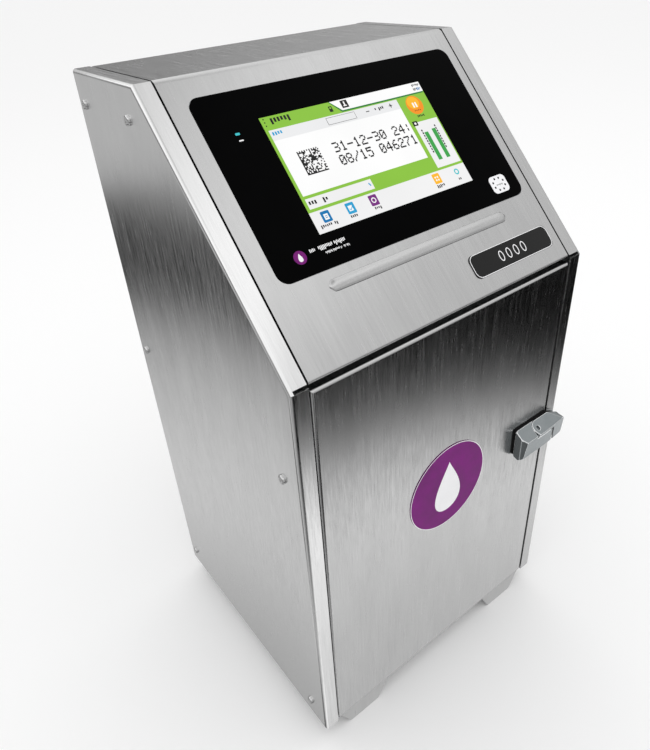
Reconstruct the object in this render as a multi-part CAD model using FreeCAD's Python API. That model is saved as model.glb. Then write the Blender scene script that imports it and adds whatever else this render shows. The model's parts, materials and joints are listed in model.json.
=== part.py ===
import FreeCAD, Part
import math
import os

# Continuous ink-jet date coder in a slim folded-sheet cabinet. Millimetres. +Z is up, -Y is the door side,
# +X is to the right as seen from the door. The origin is the centre of the floor bolt pattern in the feet.

# Cabinet
WIDTH = 297.0
DEPTH = 265.0
TOP_Z = 575.0
FOOT_HEIGHT = 22.0
TOP_FLAT = 112.0          # depth of the level top, from the back to the bend
LIP_Z = 411.8             # lower edge of the sloping front
SHEET = 1.5
BEND = 3.0                # outside radius of a bend
FLANGE = 14.2             # width of the side panels' turned-in flanges
SEAM = 1.5                # gap between a flange and the door or hood
SHEET_PLAY = 0.3          # room for a sheet's corner inside a neighbour's bend
CORNER_SLOT = 2.0

# Feet
FOOT_X = 100.25
FOOT_TOP = 59.0
FOOT_BOTTOM = 36.0
FOOT_SHEET = 2.0
FOOT_SETBACK = 1.5
FOOT_LEDGE = 22.0
BOLT_R = 3.3
BOLT_INSET = 13.0         # from the foot's outer face to the bolt hole

# Side screws
SCREW_R = 2.0
SCREW_HOLE_R = 2.15
SCREW_HEAD_R = 3.8
SCREW_HEAD = 2.2
SCREW_REACH = 6.0
HEX_KEY = 2.5
REAR_SCREW_IN = 14.0      # screw rows from the cabinet's back and front faces
FRONT_SCREW_IN = 22.0
TOP_SCREW_BACK = 16.0     # behind the bend
TOP_SCREW_DROP = 24.0
LOW_SCREW_RISE = 21.5     # above the cabinet's lower edge
BACK_SCREW_IN = 6.5

# Inner sheets
PAN_FLANGE = 34.0
PAN_LIP = 12.0
SHELF_Z = 340.0
SHELF_FLANGE = 24.0
SHELF_LIP = 10.0
CABLE_SLOT_X = (-120.0, -10.0, 90.0)
CABLE_SLOT_W, CABLE_SLOT_D = 26.0, 12.0
CABLE_SLOT_IN = 33.5      # from the shelf's back edge
RAIL_DROP = 12.0
RAIL_LEG = 30.0
RAIL_WIDTH = 22.0
SEAL_GAP = 0.3
FRAME_Y = 15.5            # front frame behind the door face
FRAME_SIDE = 37.0
FRAME_BAR = 22.0

# Door
DOOR_BOTTOM_GAP = 1.5
DOOR_TOP_GAP = 3.8
DOOR_RETURN = 12.0
HINGE_RETURN = 8.0
RETURN_NOTCH = 30.0
PIVOT_SIDE_WALL = 1.1     # lug left between the bush and the door's hinge edge
PIVOT_FACE_WALL = 0.1
PIN_R = 2.0
PIN_CLEARANCE = 0.05
BUSH_R = 2.4
LUG_HEIGHT = 6.0
ARM_SHEET = 3.0
STIFFENER_IN = 8.8
STIFFENER_WIDTH = 14.0
STIFFENER_END = 26.0
DOOR_SEAL_WIDTH = 10.0
EMBLEM_R = 44.75
EMBLEM_Z = 241.5
EMBLEM_THICK = 0.6

# Latch
LATCH_IN = 45.3           # the latch's left end from the door's free edge
LATCH_OUT = 7.0           # its right end beyond the side panel
LATCH_Z0 = 222.0
LATCH_Z1 = 254.0
LATCH_PROUD = 13.5
LATCH_RIDGE_DROP = 9.0
GASKET = 1.5
LATCH_SPLIT_IN = 3.3      # the split and the pin from the door's free edge
LATCH_SPLIT_Z = 242.0
LATCH_PIN_IN = 20.3
LATCH_PIN_PROUD = 8.0
LATCH_HUB_R = 6.0
LATCH_PIN_R = 1.75
LATCH_GAP = 0.35
STUD_R = 2.0
STUD_HOLE_R = 2.2
STUD_REACH = 9.0
NUT_R = 4.0
NUT_HEIGHT = 3.2

# Hood
HOOD_LIP = 14.0
HOOD_RETURN = 8.0
HOOD_BACK_LIP = 20.0
HINGE_DROP = 22.0
HINGE_OUT = 2.7
KNUCKLE_R = 2.5
HINGE_PIN_R = 1.25
HINGE_HALF = 120.0
KNUCKLES = 9
KNUCKLE_GAP = 0.4
LEAF = 1.2
BEAD_X0, BEAD_X1 = -86.5, 91.0
BEAD_S = 169.9            # distances marked S run down the slope from the bend
BEAD_WIDTH = 8.6
BEAD_HEIGHT = 1.8

# Display
GLASS_X0, GLASS_X1 = -118.2, 124.3
GLASS_S0, GLASS_S1 = 18.0, 158.1
GLASS_R = 8.5
GLASS_THICK = 1.8
GLASS_PROUD = 0.3
GLASS_GAP = 0.4
BEZEL_MARGIN = 8.0
BEZEL_LAND = 7.0
LCD_X0, LCD_X1 = -80.0, 84.5
LCD_S0, LCD_S1 = 37.0, 139.5
LCD_THICK = 6.5
BOARD_SHEET = 1.6
COVER_DEPTH = 34.0
BADGE_X0, BADGE_X1 = 33.0, 123.8
BADGE_S0, BADGE_S1 = 188.7, 208.0
TAG_X, TAG_S = 102.6, 144.3
TAG_W, TAG_H = 18.5, 15.0
BADGE_THICK = 0.8
BADGE_R = 5.0
TAG_THICK = 0.2
TAG_R = 4.0

# Back panel fittings
FAN_X, FAN_DROP, FAN_SIZE, FAN_DEPTH = -60.0, 145.0, 80.0, 25.0
FAN_BORE_R, FAN_HUB_R, FAN_TIP_GAP = 38.0, 17.0, 1.0
FAN_SHAFT_R = 1.5
GLAND_X, GLAND_DROP, GLAND_BORE_R, GLAND_R = 75.0, 120.0, 9.0, 17.0
GLAND_THREAD_STEP = 3.0   # the threaded body is this much smaller than the flange
SOCKET_RISE = 35.0        # inlet, switch and signal ports above the shelf
INLET_X, INLET_W, INLET_H = 75.0, 27.0, 20.0
SWITCH_X, SWITCH_W, SWITCH_H = 35.0, 13.0, 19.0
SWITCH_WALL, SWITCH_AXLE_R = 1.1, 1.2
ROCKER_GAP, AXLE_END_GAP = 0.3, 0.1
CUTOUT_PLAY = 0.2
PORT_X = (-100.0, -76.0, -52.0, -28.0)
PORT_R = 6.0
SLOT_X, SLOT_RISE, SLOT_WIDTH, SLOT_HEIGHT = -90.0, 68.0, 22.0, 6.0
SLOT_ROWS, SLOT_COLUMNS = 5, 6
SLOT_PITCH_X, SLOT_PITCH_Z = 32.0, 15.0

# Ink system
CARTRIDGE_X = 58.0
CARTRIDGE_W, CARTRIDGE_D, CARTRIDGE_H = 74.0, 66.0, 150.0
CARTRIDGE_BACK = 72.5     # cartridge axes behind the door's face
DOCK_RISE = 53.0          # sockets' floor above the base pan
DOCK_H = 34.0
DOCK_WALL = 2.0
DOCK_GAP = 0.5
NEEDLE_R, NEEDLE_BORE_R, NEEDLE_LENGTH = 1.5, 0.7, 16.0
NEEDLE_PLAY = 1.0
TANK_W, TANK_D, TANK_H, TANK_WALL = 108.0, 90.0, 130.0, 2.5
TANK_SIDE_GAP = 19.0      # from the left panel's inner face
TANK_BACK_GAP = 27.5      # from the cabinet's back face
TANK_RISE = 35.0          # above the base pan
NECK_X, NECK_Y = 68.0, 45.0   # neck from the tank's left and front faces
NECK_R, NECK_H = 6.0, 10.0
BRACKET_SHEET = 2.0
BLOCK_W, BLOCK_D, BLOCK_H = 115.0, 30.0, 60.0
BLOCK_SIDE_GAP = 27.0
BLOCK_BACK_GAP = 62.5
BLOCK_RISE = 110.0        # above the tank's floor
GEAR_TEETH, GEAR_MODULE, GEAR_WIDTH = 12, 1.5, 8.0
GEAR_BORE_R, GEAR_SHAFT_R, GEAR_SHAFT_PLAY = 0.5, 2.5, 0.05
PUMP_IN = 35.0            # pump axis from the block's left end
MOTOR_R, MOTOR_OFFSET, MOTOR_LENGTH = 16.0, 9.0, 42.0
VALVE_COUNT, VALVE_PITCH, VALVE_IN = 4, 26.0, 14.0
VALVE_BASE, VALVE_COIL, VALVE_CAP = 10.0, 24.0, 4.0
FILTER_IN, FILTER_FORWARD = 18.0, 15.0
FILTER_R, FILTER_RIM_R, FILTER_RIM, FILTER_LENGTH = 13.0, 15.0, 8.0, 56.0
FILTER_PIPE_R = 4.0
FILTER_TOP = 2.0          # the filter's top above the block's lower face
FILTER_PIPE_RISE = 16.0
HOSE_R = 3.0
HOSE_RISE = 30.0
HOSE_BEND = 18.0

# Electronics
BOARD_LIFT = 8.0
BOARD_X0, BOARD_W, BOARD_D = -10.0, 130.0, 130.0
BOARD_BACK_GAP = 62.5
BOARD_HOLE_IN = 5.0
BOARD_PARTS = [           # x, y, width, depth and height of what the board carries
    (15, 15, 26, 26, 3),
    (60, 15, 18, 18, 2.5),
    (30, 70, 40, 12, 9),
    (90, 20, 30, 14, 12),
    (95, 75, 20, 36, 15),
]
SUPPLY_X0, SUPPLY_W, SUPPLY_D, SUPPLY_H = -125.0, 90.0, 145.0, 42.0
SUPPLY_BACK_GAP = 57.5
TERMINALS, TERMINAL_PITCH, TERMINAL_DEPTH = 7, 11.0, 7.0

HALF_W = WIDTH / 2
HALF_D = DEPTH / 2
FRONT = -HALF_D
INNER_X = HALF_W - SHEET
SEAM_X = HALF_W - FLANGE - SEAM
BEND_Y = HALF_D - TOP_FLAT
RISE = TOP_Z - LIP_Z
SLOPE = math.hypot(BEND_Y - FRONT, RISE)
SLOPE_ANGLE = math.degrees(math.atan2(RISE, BEND_Y - FRONT))
DOOR_Z0 = FOOT_HEIGHT + DOOR_BOTTOM_GAP
DOOR_Z1 = LIP_Z - DOOR_TOP_GAP
FLOOR = FOOT_HEIGHT + 2 * SHEET
PIVOT_X = -SEAM_X + SHEET + BUSH_R + PIVOT_SIDE_WALL
PIVOT_Y = FRONT + SHEET + BUSH_R + PIVOT_FACE_WALL
FRAME_FACE = FRONT + FRAME_Y
SEAL_FACE = FRONT + DOOR_RETURN + SEAL_GAP
OUTLINE = [
    (FRONT, FOOT_HEIGHT),
    (FRONT, LIP_Z),
    (BEND_Y, TOP_Z),
    (HALF_D, TOP_Z),
    (HALF_D, FOOT_HEIGHT),
]
LATCH_FRONT = FRONT - LATCH_PROUD
LATCH_LEFT = SEAM_X - LATCH_IN
LATCH_RIGHT = HALF_W + LATCH_OUT
LATCH_SPLIT_X = SEAM_X - LATCH_SPLIT_IN
LATCH_PIN_X = SEAM_X - LATCH_PIN_IN
LATCH_PIN_Y = FRONT - LATCH_PIN_PROUD
HINGE_Y = HALF_D + HINGE_OUT
HINGE_Z = TOP_Z - HINGE_DROP
FAN_Z = TOP_Z - FAN_DROP
GLAND_Z = TOP_Z - GLAND_DROP
SOCKET_Z = SHELF_Z + SOCKET_RISE
CARTRIDGE_Y = FRONT + CARTRIDGE_BACK
DOCK_Z = FLOOR + DOCK_RISE
TANK_X0 = -INNER_X + TANK_SIDE_GAP
TANK_X1 = TANK_X0 + TANK_W
TANK_Y1 = HALF_D - TANK_BACK_GAP
TANK_Y0 = TANK_Y1 - TANK_D
TANK_Z0 = FLOOR + TANK_RISE
TANK_Z1 = TANK_Z0 + TANK_H
BLOCK_X1 = INNER_X - BLOCK_SIDE_GAP
BLOCK_X0 = BLOCK_X1 - BLOCK_W
BLOCK_Y1 = HALF_D - BLOCK_BACK_GAP
BLOCK_Y0 = BLOCK_Y1 - BLOCK_D
BLOCK_Z0 = TANK_Z0 + BLOCK_RISE
BLOCK_Z1 = BLOCK_Z0 + BLOCK_H
PUMP_X = BLOCK_X0 + PUMP_IN
PUMP_Z = (BLOCK_Z0 + BLOCK_Z1) / 2
BOARD_Y1 = HALF_D - BOARD_BACK_GAP
SUPPLY_Y1 = HALF_D - SUPPLY_BACK_GAP


def vec(x, y, z):
    return FreeCAD.Vector(x, y, z)


def block(x0, x1, y0, y1, z0, z1):
    return Part.makeBox(x1 - x0, y1 - y0, z1 - z0, vec(x0, y0, z0))


def rod(radius, start, end):
    axis = end.sub(start)
    return Part.makeCylinder(radius, axis.Length, start, axis)


def tube(outer, inner, start, end):
    return rod(outer, start, end).cut(rod(inner, start, end))


def group(shapes):
    return Part.makeCompound(shapes)


def join(shapes):
    whole = shapes[0].fuse(shapes[1:]) if len(shapes) > 1 else shapes[0]
    return whole.removeSplitter()


def loop(points):
    return Part.makePolygon(points + [points[0]])


def rounded_loop(points, radii):
    """Closed wire through the points, each corner rounded by its own radius (0 keeps it sharp)."""
    edges = []
    ends = []
    count = len(points)
    for i in range(count):
        corner = points[i]
        before = points[i - 1].sub(corner).normalize()
        after = points[(i + 1) % count].sub(corner).normalize()
        if radii[i] <= 0:
            ends.append((corner, corner, None))
            continue
        half = before.getAngle(after) / 2
        reach = radii[i] / math.tan(half)
        middle = corner.add(before.add(after).normalize() * (radii[i] / math.sin(half) - radii[i]))
        ends.append((corner.add(before * reach), corner.add(after * reach), middle))
    for i in range(count):
        first, last, middle = ends[i]
        if middle is not None:
            edges.append(Part.Arc(first, middle, last).toShape())
        following = ends[(i + 1) % count][0]
        if last.distanceToPoint(following) > 1e-6:
            edges.append(Part.LineSegment(last, following).toShape())
    return Part.Wire(edges)


def prism(wire, along):
    return Part.Face(wire).extrude(along)


def yz_prism(points, x0, x1, radii=None):
    corners = [vec(x0, y, z) for y, z in points]
    wire = rounded_loop(corners, radii) if radii else loop(corners)
    return prism(wire, vec(x1 - x0, 0, 0))


def xz_prism(points, y0, y1, radii=None):
    corners = [vec(x, y0, z) for x, z in points]
    wire = rounded_loop(corners, radii) if radii else loop(corners)
    return prism(wire, vec(0, y1 - y0, 0))


def xy_prism(points, z0, z1, radii=None):
    corners = [vec(x, y, z0) for x, y in points]
    wire = rounded_loop(corners, radii) if radii else loop(corners)
    return prism(wire, vec(0, 0, z1 - z0))


def rectangle(a0, a1, b0, b1):
    return [(a0, b0), (a1, b0), (a1, b1), (a0, b1)]


def hexagon(a, b, radius):
    turns = [math.pi / 3 * k for k in range(6)]
    return [(a + radius * math.cos(t), b + radius * math.sin(t)) for t in turns]


def slab(x0, x1, u0, u1, n0, n1, radius=0.0):
    """Plate with rounded corners in the xy plane, for placing on the slope."""
    return xy_prism([(x0, u0), (x1, u0), (x1, u1), (x0, u1)], n0, n1, [radius] * 4)


def inset(points, distance):
    """The same closed outline moved inwards by a distance. The points run clockwise seen from +X."""
    lines = []
    count = len(points)
    for i in range(count):
        y0, z0 = points[i]
        y1, z1 = points[(i + 1) % count]
        length = math.hypot(y1 - y0, z1 - z0)
        ny, nz = (z1 - z0) / length, -(y1 - y0) / length
        lines.append((ny, nz, ny * y0 + nz * z0 + distance))
    moved = []
    for i in range(count):
        a1, b1, c1 = lines[i - 1]
        a2, b2, c2 = lines[i]
        det = a1 * b2 - a2 * b1
        moved.append(((c1 * b2 - c2 * b1) / det, (a1 * c2 - a2 * c1) / det))
    return moved


def band(outer, inner, x0, x1):
    """Strip that follows the cabinet outline between two insets."""
    return yz_prism(inset(OUTLINE, outer), x0, x1).cut(yz_prism(inset(OUTLINE, inner), x0 - 1, x1 + 1))


def on_slope(shape):
    """Moves a shape drawn as x, distance up the slope, height above it, onto the slope."""
    placed = shape.copy()
    placed.rotate(vec(0, 0, 0), vec(1, 0, 0), SLOPE_ANGLE)
    placed.translate(vec(0, FRONT, LIP_Z))
    return placed


def up(distance_down):
    """Turns a distance down from the bend into a distance up from the lip."""
    return SLOPE - distance_down


def mirrored(shape):
    return shape.mirror(vec(0, 0, 0), vec(1, 0, 0))


def trim(shape, point, normal):
    """Cuts away everything on the side of a plane that its normal points to."""
    size = 400.0
    tool = Part.makeBox(size, size, size, vec(-size / 2, -size / 2, 0))
    tool.Placement = FreeCAD.Placement(point, FreeCAD.Rotation(vec(0, 0, 1), normal))
    return shape.cut(tool)


def edges_where(shape, test):
    return [e for e in shape.Edges if all(test(v.Point) for v in e.Vertexes)]


def save(name, shape):
    shape.exportStep("parts/" + name + ".step")


# Side panels and their screws

def screw_places():
    rear, front = HALF_D - REAR_SCREW_IN, FRONT + FRONT_SCREW_IN
    top_row = TOP_Z - TOP_SCREW_DROP
    rows = [(rear, top_row), (BEND_Y + TOP_SCREW_BACK, top_row)]
    for z in (SHELF_Z - SHELF_FLANGE / 2, FOOT_HEIGHT + LOW_SCREW_RISE):
        rows += [(rear, z), (front, z)]
    return rows


def side_screw_holes():
    reach = HALF_W + 1
    return [rod(SCREW_HOLE_R, vec(-reach, y, z), vec(-reach + 12, y, z)) for y, z in screw_places()]


def left_panel():
    outer = yz_prism(OUTLINE, -HALF_W, -HALF_W + FLANGE)
    outer = outer.makeFillet(BEND, edges_where(outer, lambda p: p.x < -HALF_W + 0.01))
    inner = yz_prism(inset(OUTLINE, SHEET), -INNER_X, 0)
    inner = inner.makeFillet(BEND - SHEET, edges_where(inner, lambda p: p.x < -INNER_X + 0.01))
    panel = outer.cut(inner)
    slot = block(-HALF_W + BEND, 0, FRONT - 1, FRONT + 5, LIP_Z, LIP_Z + CORNER_SLOT)
    return panel.cut([slot] + side_screw_holes())


def screw(head_base, outward):
    """Button-head socket screw whose head sits on a face; outward is a unit vector."""
    top = head_base.add(outward * SCREW_HEAD)
    head = rod(SCREW_HEAD_R, head_base, top)
    rim = [e for e in head.Edges if e.Closed and e.CenterOfMass.distanceToPoint(top) < 0.01]
    head = head.makeFillet(SCREW_HEAD * 0.7, rim)
    key = rod(HEX_KEY / 2, top.sub(outward * 1.2), top.add(outward))
    shank = rod(SCREW_R, head_base.sub(outward * SCREW_REACH), head_base)
    return head.fuse(shank).cut(key)


def left_screws():
    return [screw(vec(-HALF_W, y, z), vec(-1, 0, 0)) for y, z in screw_places()]


# Feet, floor, shelf and rails

def foot(side):
    x = side * FOOT_X
    half_top, half_low = FOOT_TOP / 2, FOOT_BOTTOM / 2
    face = FRONT + FOOT_SETBACK
    tab = [(x - half_top, FOOT_HEIGHT), (x + half_top, FOOT_HEIGHT), (x + half_low, 0), (x - half_low, 0)]
    radii = [0, 0, 3.0, 3.0]
    front = xz_prism(tab, face, face + FOOT_SHEET, radii)
    back = xz_prism(tab, -face - FOOT_SHEET, -face, radii)
    top = block(x - half_top, x + half_top, face, -face, FOOT_HEIGHT - FOOT_SHEET, FOOT_HEIGHT)
    pad_front, pad_back = FRAME_FACE + 2 * SHEET, HALF_D - 3 * SHEET
    pad = block(x - half_top, x + half_top, pad_front, pad_back, FOOT_HEIGHT, FOOT_HEIGHT + SHEET)
    low = half_low - 3.0
    ledge_front = block(x - low, x + low, face, face + FOOT_LEDGE, 0, FOOT_SHEET)
    ledge_back = block(x - low, x + low, -face - FOOT_LEDGE, -face, 0, FOOT_SHEET)
    whole = join([front, back, top, pad, ledge_front, ledge_back])
    reach = abs(face) - BOLT_INSET
    holes = [rod(BOLT_R, vec(x, y, -1), vec(x, y, FOOT_SHEET + 1)) for y in (-reach, reach)]
    return whole.cut(holes)


def base_pan():
    floor_z = FOOT_HEIGHT + SHEET
    front = FRAME_FACE + SHEET
    back = HALF_D - 2 * SHEET
    tray = block(-INNER_X, INNER_X, front, back, floor_z, floor_z + PAN_FLANGE)
    corners = edges_where(tray, lambda p: p.z < floor_z + 0.01 and abs(p.x) > INNER_X - 0.01)
    tray = tray.makeFillet(BEND - SHEET + SHEET_PLAY, corners)
    well = block(-INNER_X + SHEET, INNER_X - SHEET, front + SHEET, back + 1, floor_z + SHEET, TOP_Z)
    low_front = block(-INNER_X + SHEET, INNER_X - SHEET, front - 1, front + 2, floor_z + PAN_LIP, TOP_Z)
    holes = side_screw_holes()
    return tray.cut([well, low_front] + holes + [mirrored(h) for h in holes])


def shelf():
    front = FRAME_FACE + SHEET
    back = HALF_D - 2 * SHEET
    low = SHELF_Z - SHELF_FLANGE
    plate = block(-INNER_X, INNER_X, front, back, SHELF_Z - SHEET, SHELF_Z)
    left = block(-INNER_X, -INNER_X + SHEET, front, back, low, SHELF_Z)
    right = block(INNER_X - SHEET, INNER_X, front, back, low, SHELF_Z)
    lip = block(-INNER_X, INNER_X, front, front + SHEET, SHELF_Z - SHELF_LIP, SHELF_Z)
    slot_y = back - CABLE_SLOT_IN
    slots = [
        block(x, x + CABLE_SLOT_W, slot_y, slot_y + CABLE_SLOT_D, SHELF_Z - 2 * SHEET, SHELF_Z + 1)
        for x in CABLE_SLOT_X
    ]
    holes = side_screw_holes()
    return join([plate, left, right, lip]).cut(holes + [mirrored(h) for h in holes] + slots)


def left_rail():
    """Angle under the hood's edge: a leg on the side panel and a ledge that carries the seal."""
    leg = band(RAIL_DROP, RAIL_LEG, -INNER_X, -INNER_X + SHEET)
    ledge = band(RAIL_DROP, RAIL_DROP + SHEET, -INNER_X, -INNER_X + RAIL_WIDTH)
    keep = block(-HALF_W, 0, FRAME_FACE + SHEET + 4, HALF_D - 2 * SHEET, LIP_Z, TOP_Z)
    return join([leg.common(keep), ledge.common(keep)]).cut(side_screw_holes())


def left_hood_seal():
    strip = band(HOOD_RETURN + SEAL_GAP, RAIL_DROP, -INNER_X + 10, -INNER_X + 22)
    keep = block(-HALF_W, 0, FRAME_FACE + SHEET + 6, HALF_D - 30, LIP_Z + 2, TOP_Z)
    return strip.common(keep)


def front_frame():
    z0 = FLOOR
    z1 = LIP_Z - SEAL_GAP
    hole_x = INNER_X - FRAME_SIDE
    hole_z0, hole_z1 = z0 + FRAME_BAR + 5, z1 - FRAME_BAR - DOOR_TOP_GAP
    plate = block(-INNER_X, INNER_X, FRAME_FACE, FRAME_FACE + SHEET, z0, z1)
    hole = xz_prism(rectangle(-hole_x, hole_x, hole_z0, hole_z1), FRAME_FACE - 1, FRAME_FACE + 3, [8.0] * 4)
    ledge = block(-INNER_X, INNER_X, FRAME_FACE, FRAME_FACE + 18, z1 - SHEET, z1)
    return join([plate.cut(hole), ledge])


def door_seal():
    z0 = DOOR_Z0 + STIFFENER_END + 2
    z1 = DOOR_Z1 - STIFFENER_END + 2
    x1 = SEAM_X - STIFFENER_IN - 2
    wide = DOOR_SEAL_WIDTH
    outer = rectangle(-x1, x1, z0, z1)
    inner = rectangle(-x1 + wide, x1 - wide, z0 + wide, z1 - wide)
    ring = xz_prism(outer, SEAL_FACE, FRAME_FACE, [14.0] * 4)
    return ring.cut(xz_prism(inner, SEAL_FACE - 1, FRAME_FACE + 1, [5.0] * 4))


# Door

def door_skin():
    edge = SEAM_X
    outer = block(-edge, edge, FRONT, FRONT + DOOR_RETURN, DOOR_Z0, DOOR_Z1)
    outer = outer.makeFillet(BEND - 0.5, edges_where(outer, lambda p: p.y < FRONT + 0.01))
    inner = block(-edge + SHEET, edge - SHEET, FRONT + SHEET, 0, DOOR_Z0 + SHEET, DOOR_Z1 - SHEET)
    skin = outer.cut(inner)
    cuts = [block(-edge - 1, -edge + 3, FRONT + HINGE_RETURN, 0, DOOR_Z0 + SHEET, DOOR_Z1 - SHEET)]
    for z0, z1 in ((DOOR_Z0 + SHEET, DOOR_Z0 + RETURN_NOTCH), (DOOR_Z1 - RETURN_NOTCH, DOOR_Z1 - SHEET)):
        cuts.append(block(-edge - 1, -edge + 3, FRONT + BEND, 0, z0, z1))
    for x, z in latch_stud_places():
        cuts.append(rod(STUD_HOLE_R, vec(x, FRONT - 1, z), vec(x, FRONT + 4, z)))
    return skin.cut(cuts)


def door_stiffener():
    """Hat-section ring spot-welded inside the door; its crown lands on the seal."""
    back = FRONT + DOOR_RETURN
    x1 = SEAM_X - STIFFENER_IN
    z0, z1 = DOOR_Z0 + STIFFENER_END, DOOR_Z1 - STIFFENER_END + 4
    wide = STIFFENER_WIDTH

    def ring(inside, y0, y1):
        outer = block(-x1 + inside, x1 - inside, y0, y1, z0 + inside, z1 - inside)
        reach = wide - inside
        return outer.cut(block(-x1 + reach, x1 - reach, y0 - 1, y1 + 1, z0 + reach, z1 - reach))

    channel = ring(0, FRONT + SHEET, back).cut(ring(SHEET, FRONT, back - SHEET))
    return channel


def lug_spans():
    """Heights of the upper and lower pivot lugs, against the door's top and bottom returns."""
    top, low = DOOR_Z1 - SHEET, DOOR_Z0 + SHEET
    return [(top - LUG_HEIGHT, top), (low, low + LUG_HEIGHT)]


def door_lugs():
    lugs = []
    y0, y1 = FRONT + SHEET, PIVOT_Y + 4.5
    x0, x1 = -SEAM_X + SHEET, PIVOT_X + 6
    for z0, z1 in lug_spans():
        lug = block(x0, x1, y0 + 1.2, y1, z0, z1).fuse(block(x0 + 2, x1, y0, y1, z0, z1)).removeSplitter()
        lugs.append(lug.cut(rod(BUSH_R, vec(PIVOT_X, PIVOT_Y, z0 - 1), vec(PIVOT_X, PIVOT_Y, z1 + 1))))
    return group(lugs)


def door_bushes():
    bore = PIN_R + PIN_CLEARANCE
    bushes = []
    for z0, z1 in lug_spans():
        bushes.append(tube(BUSH_R, bore, vec(PIVOT_X, PIVOT_Y, z0), vec(PIVOT_X, PIVOT_Y, z1)))
    return group(bushes)


def hinge_arm(z0, pad_z0, pad_z1):
    """Flat arm that reaches diagonally from the front frame into the door's hollow."""
    end = vec(PIVOT_X, PIVOT_Y, z0)
    half = 2.3
    reach = FRAME_FACE - PIVOT_Y
    side = half * math.sqrt(0.5)
    strip = xy_prism(
        [
            (PIVOT_X - side, PIVOT_Y + side),
            (PIVOT_X + side, PIVOT_Y - side),
            (PIVOT_X + reach + side, PIVOT_Y + reach - side),
            (PIVOT_X + reach + side, FRAME_FACE),
            (PIVOT_X + reach - 2 * side, FRAME_FACE),
        ],
        z0, z0 + ARM_SHEET,
    )
    nose = Part.makeCylinder(half, ARM_SHEET, end)
    pad = block(PIVOT_X + 6, PIVOT_X + 22, FRAME_FACE - SHEET, FRAME_FACE, pad_z0, pad_z1)
    return join([strip, nose, pad])


def hinge_arms():
    top = DOOR_Z1 - SHEET - LUG_HEIGHT - 0.3
    low = DOOR_Z0 + SHEET + LUG_HEIGHT + 0.3
    upper = hinge_arm(top - ARM_SHEET, top - 9, DOOR_Z1 - 3)
    lower = hinge_arm(low, DOOR_Z0 + 2, low + 9)
    return group([upper, lower])


def pivot_pins():
    top = DOOR_Z1 - SHEET - LUG_HEIGHT - 0.3
    low = DOOR_Z0 + SHEET + LUG_HEIGHT + 0.3
    reach = LUG_HEIGHT - 0.5
    upper = rod(PIN_R, vec(PIVOT_X, PIVOT_Y, top), vec(PIVOT_X, PIVOT_Y, top + reach))
    lower = rod(PIN_R, vec(PIVOT_X, PIVOT_Y, low - reach), vec(PIVOT_X, PIVOT_Y, low))
    return group([upper, lower])


def door_emblem():
    return rod(EMBLEM_R, vec(0, FRONT - EMBLEM_THICK, EMBLEM_Z), vec(0, FRONT, EMBLEM_Z))


# Latch

def latch_stud_places():
    """Stud axes in x and z. The second nut stands in the stiffener's channel, against its inner wall."""
    channel = SEAM_X - STIFFENER_IN - STIFFENER_WIDTH + SHEET
    return [(LATCH_LEFT + 10, LATCH_SPLIT_Z - 6), (channel + NUT_R, LATCH_SPLIT_Z - 12)]


def latch_profile(shrink):
    """Cross-section of the latch castings in y and z: a sloping top, a blunt ridge and an undercut foot."""
    back = FRONT - GASKET
    return [
        (back, LATCH_Z0 + 2),
        (back, LATCH_Z1),
        (LATCH_FRONT, LATCH_Z1 - LATCH_RIDGE_DROP),
        (LATCH_FRONT + 2.0, LATCH_Z0 + shrink),
        (LATCH_FRONT + 6.0, LATCH_Z0),
    ]


def split_plane():
    """Point and direction of the slanted face between the base and the lever."""
    point = vec(LATCH_SPLIT_X, LATCH_FRONT, LATCH_Z0)
    normal = vec(0.5, -math.sqrt(0.75), 0)
    return point, normal


def latch_base():
    body = yz_prism(latch_profile(3.0), LATCH_LEFT, SEAM_X - 1)
    point, normal = split_plane()
    body = trim(body, point, normal)
    body = trim(body, vec(LATCH_LEFT, FRONT - GASKET, LATCH_Z1 - 1), vec(-0.30, -0.10, 0.95))
    body = trim(body, vec(LATCH_LEFT + 1.0, LATCH_FRONT + 3.5, LATCH_Z0), vec(-0.75, -0.66, 0))
    hub_room = rod(
        LATCH_HUB_R + LATCH_GAP,
        vec(LATCH_PIN_X, LATCH_PIN_Y, LATCH_SPLIT_Z),
        vec(LATCH_PIN_X, LATCH_PIN_Y, LATCH_Z1 + 1),
    )
    upper = block(LATCH_PIN_X, LATCH_RIGHT, LATCH_FRONT - 5, FRONT - GASKET, LATCH_SPLIT_Z, LATCH_Z1 + 1)
    nose_x = LATCH_PIN_X - LATCH_HUB_R - LATCH_GAP
    front = block(nose_x, LATCH_PIN_X, LATCH_FRONT - 5, LATCH_PIN_Y, LATCH_SPLIT_Z, LATCH_Z1 + 1)
    body = body.cut([hub_room, upper, front])
    pin_low = vec(LATCH_PIN_X, LATCH_PIN_Y, LATCH_Z0 - 1)
    bore = rod(LATCH_PIN_R, pin_low, vec(LATCH_PIN_X, LATCH_PIN_Y, LATCH_Z1))
    studs = [
        rod(STUD_R, vec(x, FRONT - GASKET - 1, z), vec(x, FRONT + STUD_REACH, z))
        for x, z in latch_stud_places()
    ]
    return join([body.cut(bore)] + studs)


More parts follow.
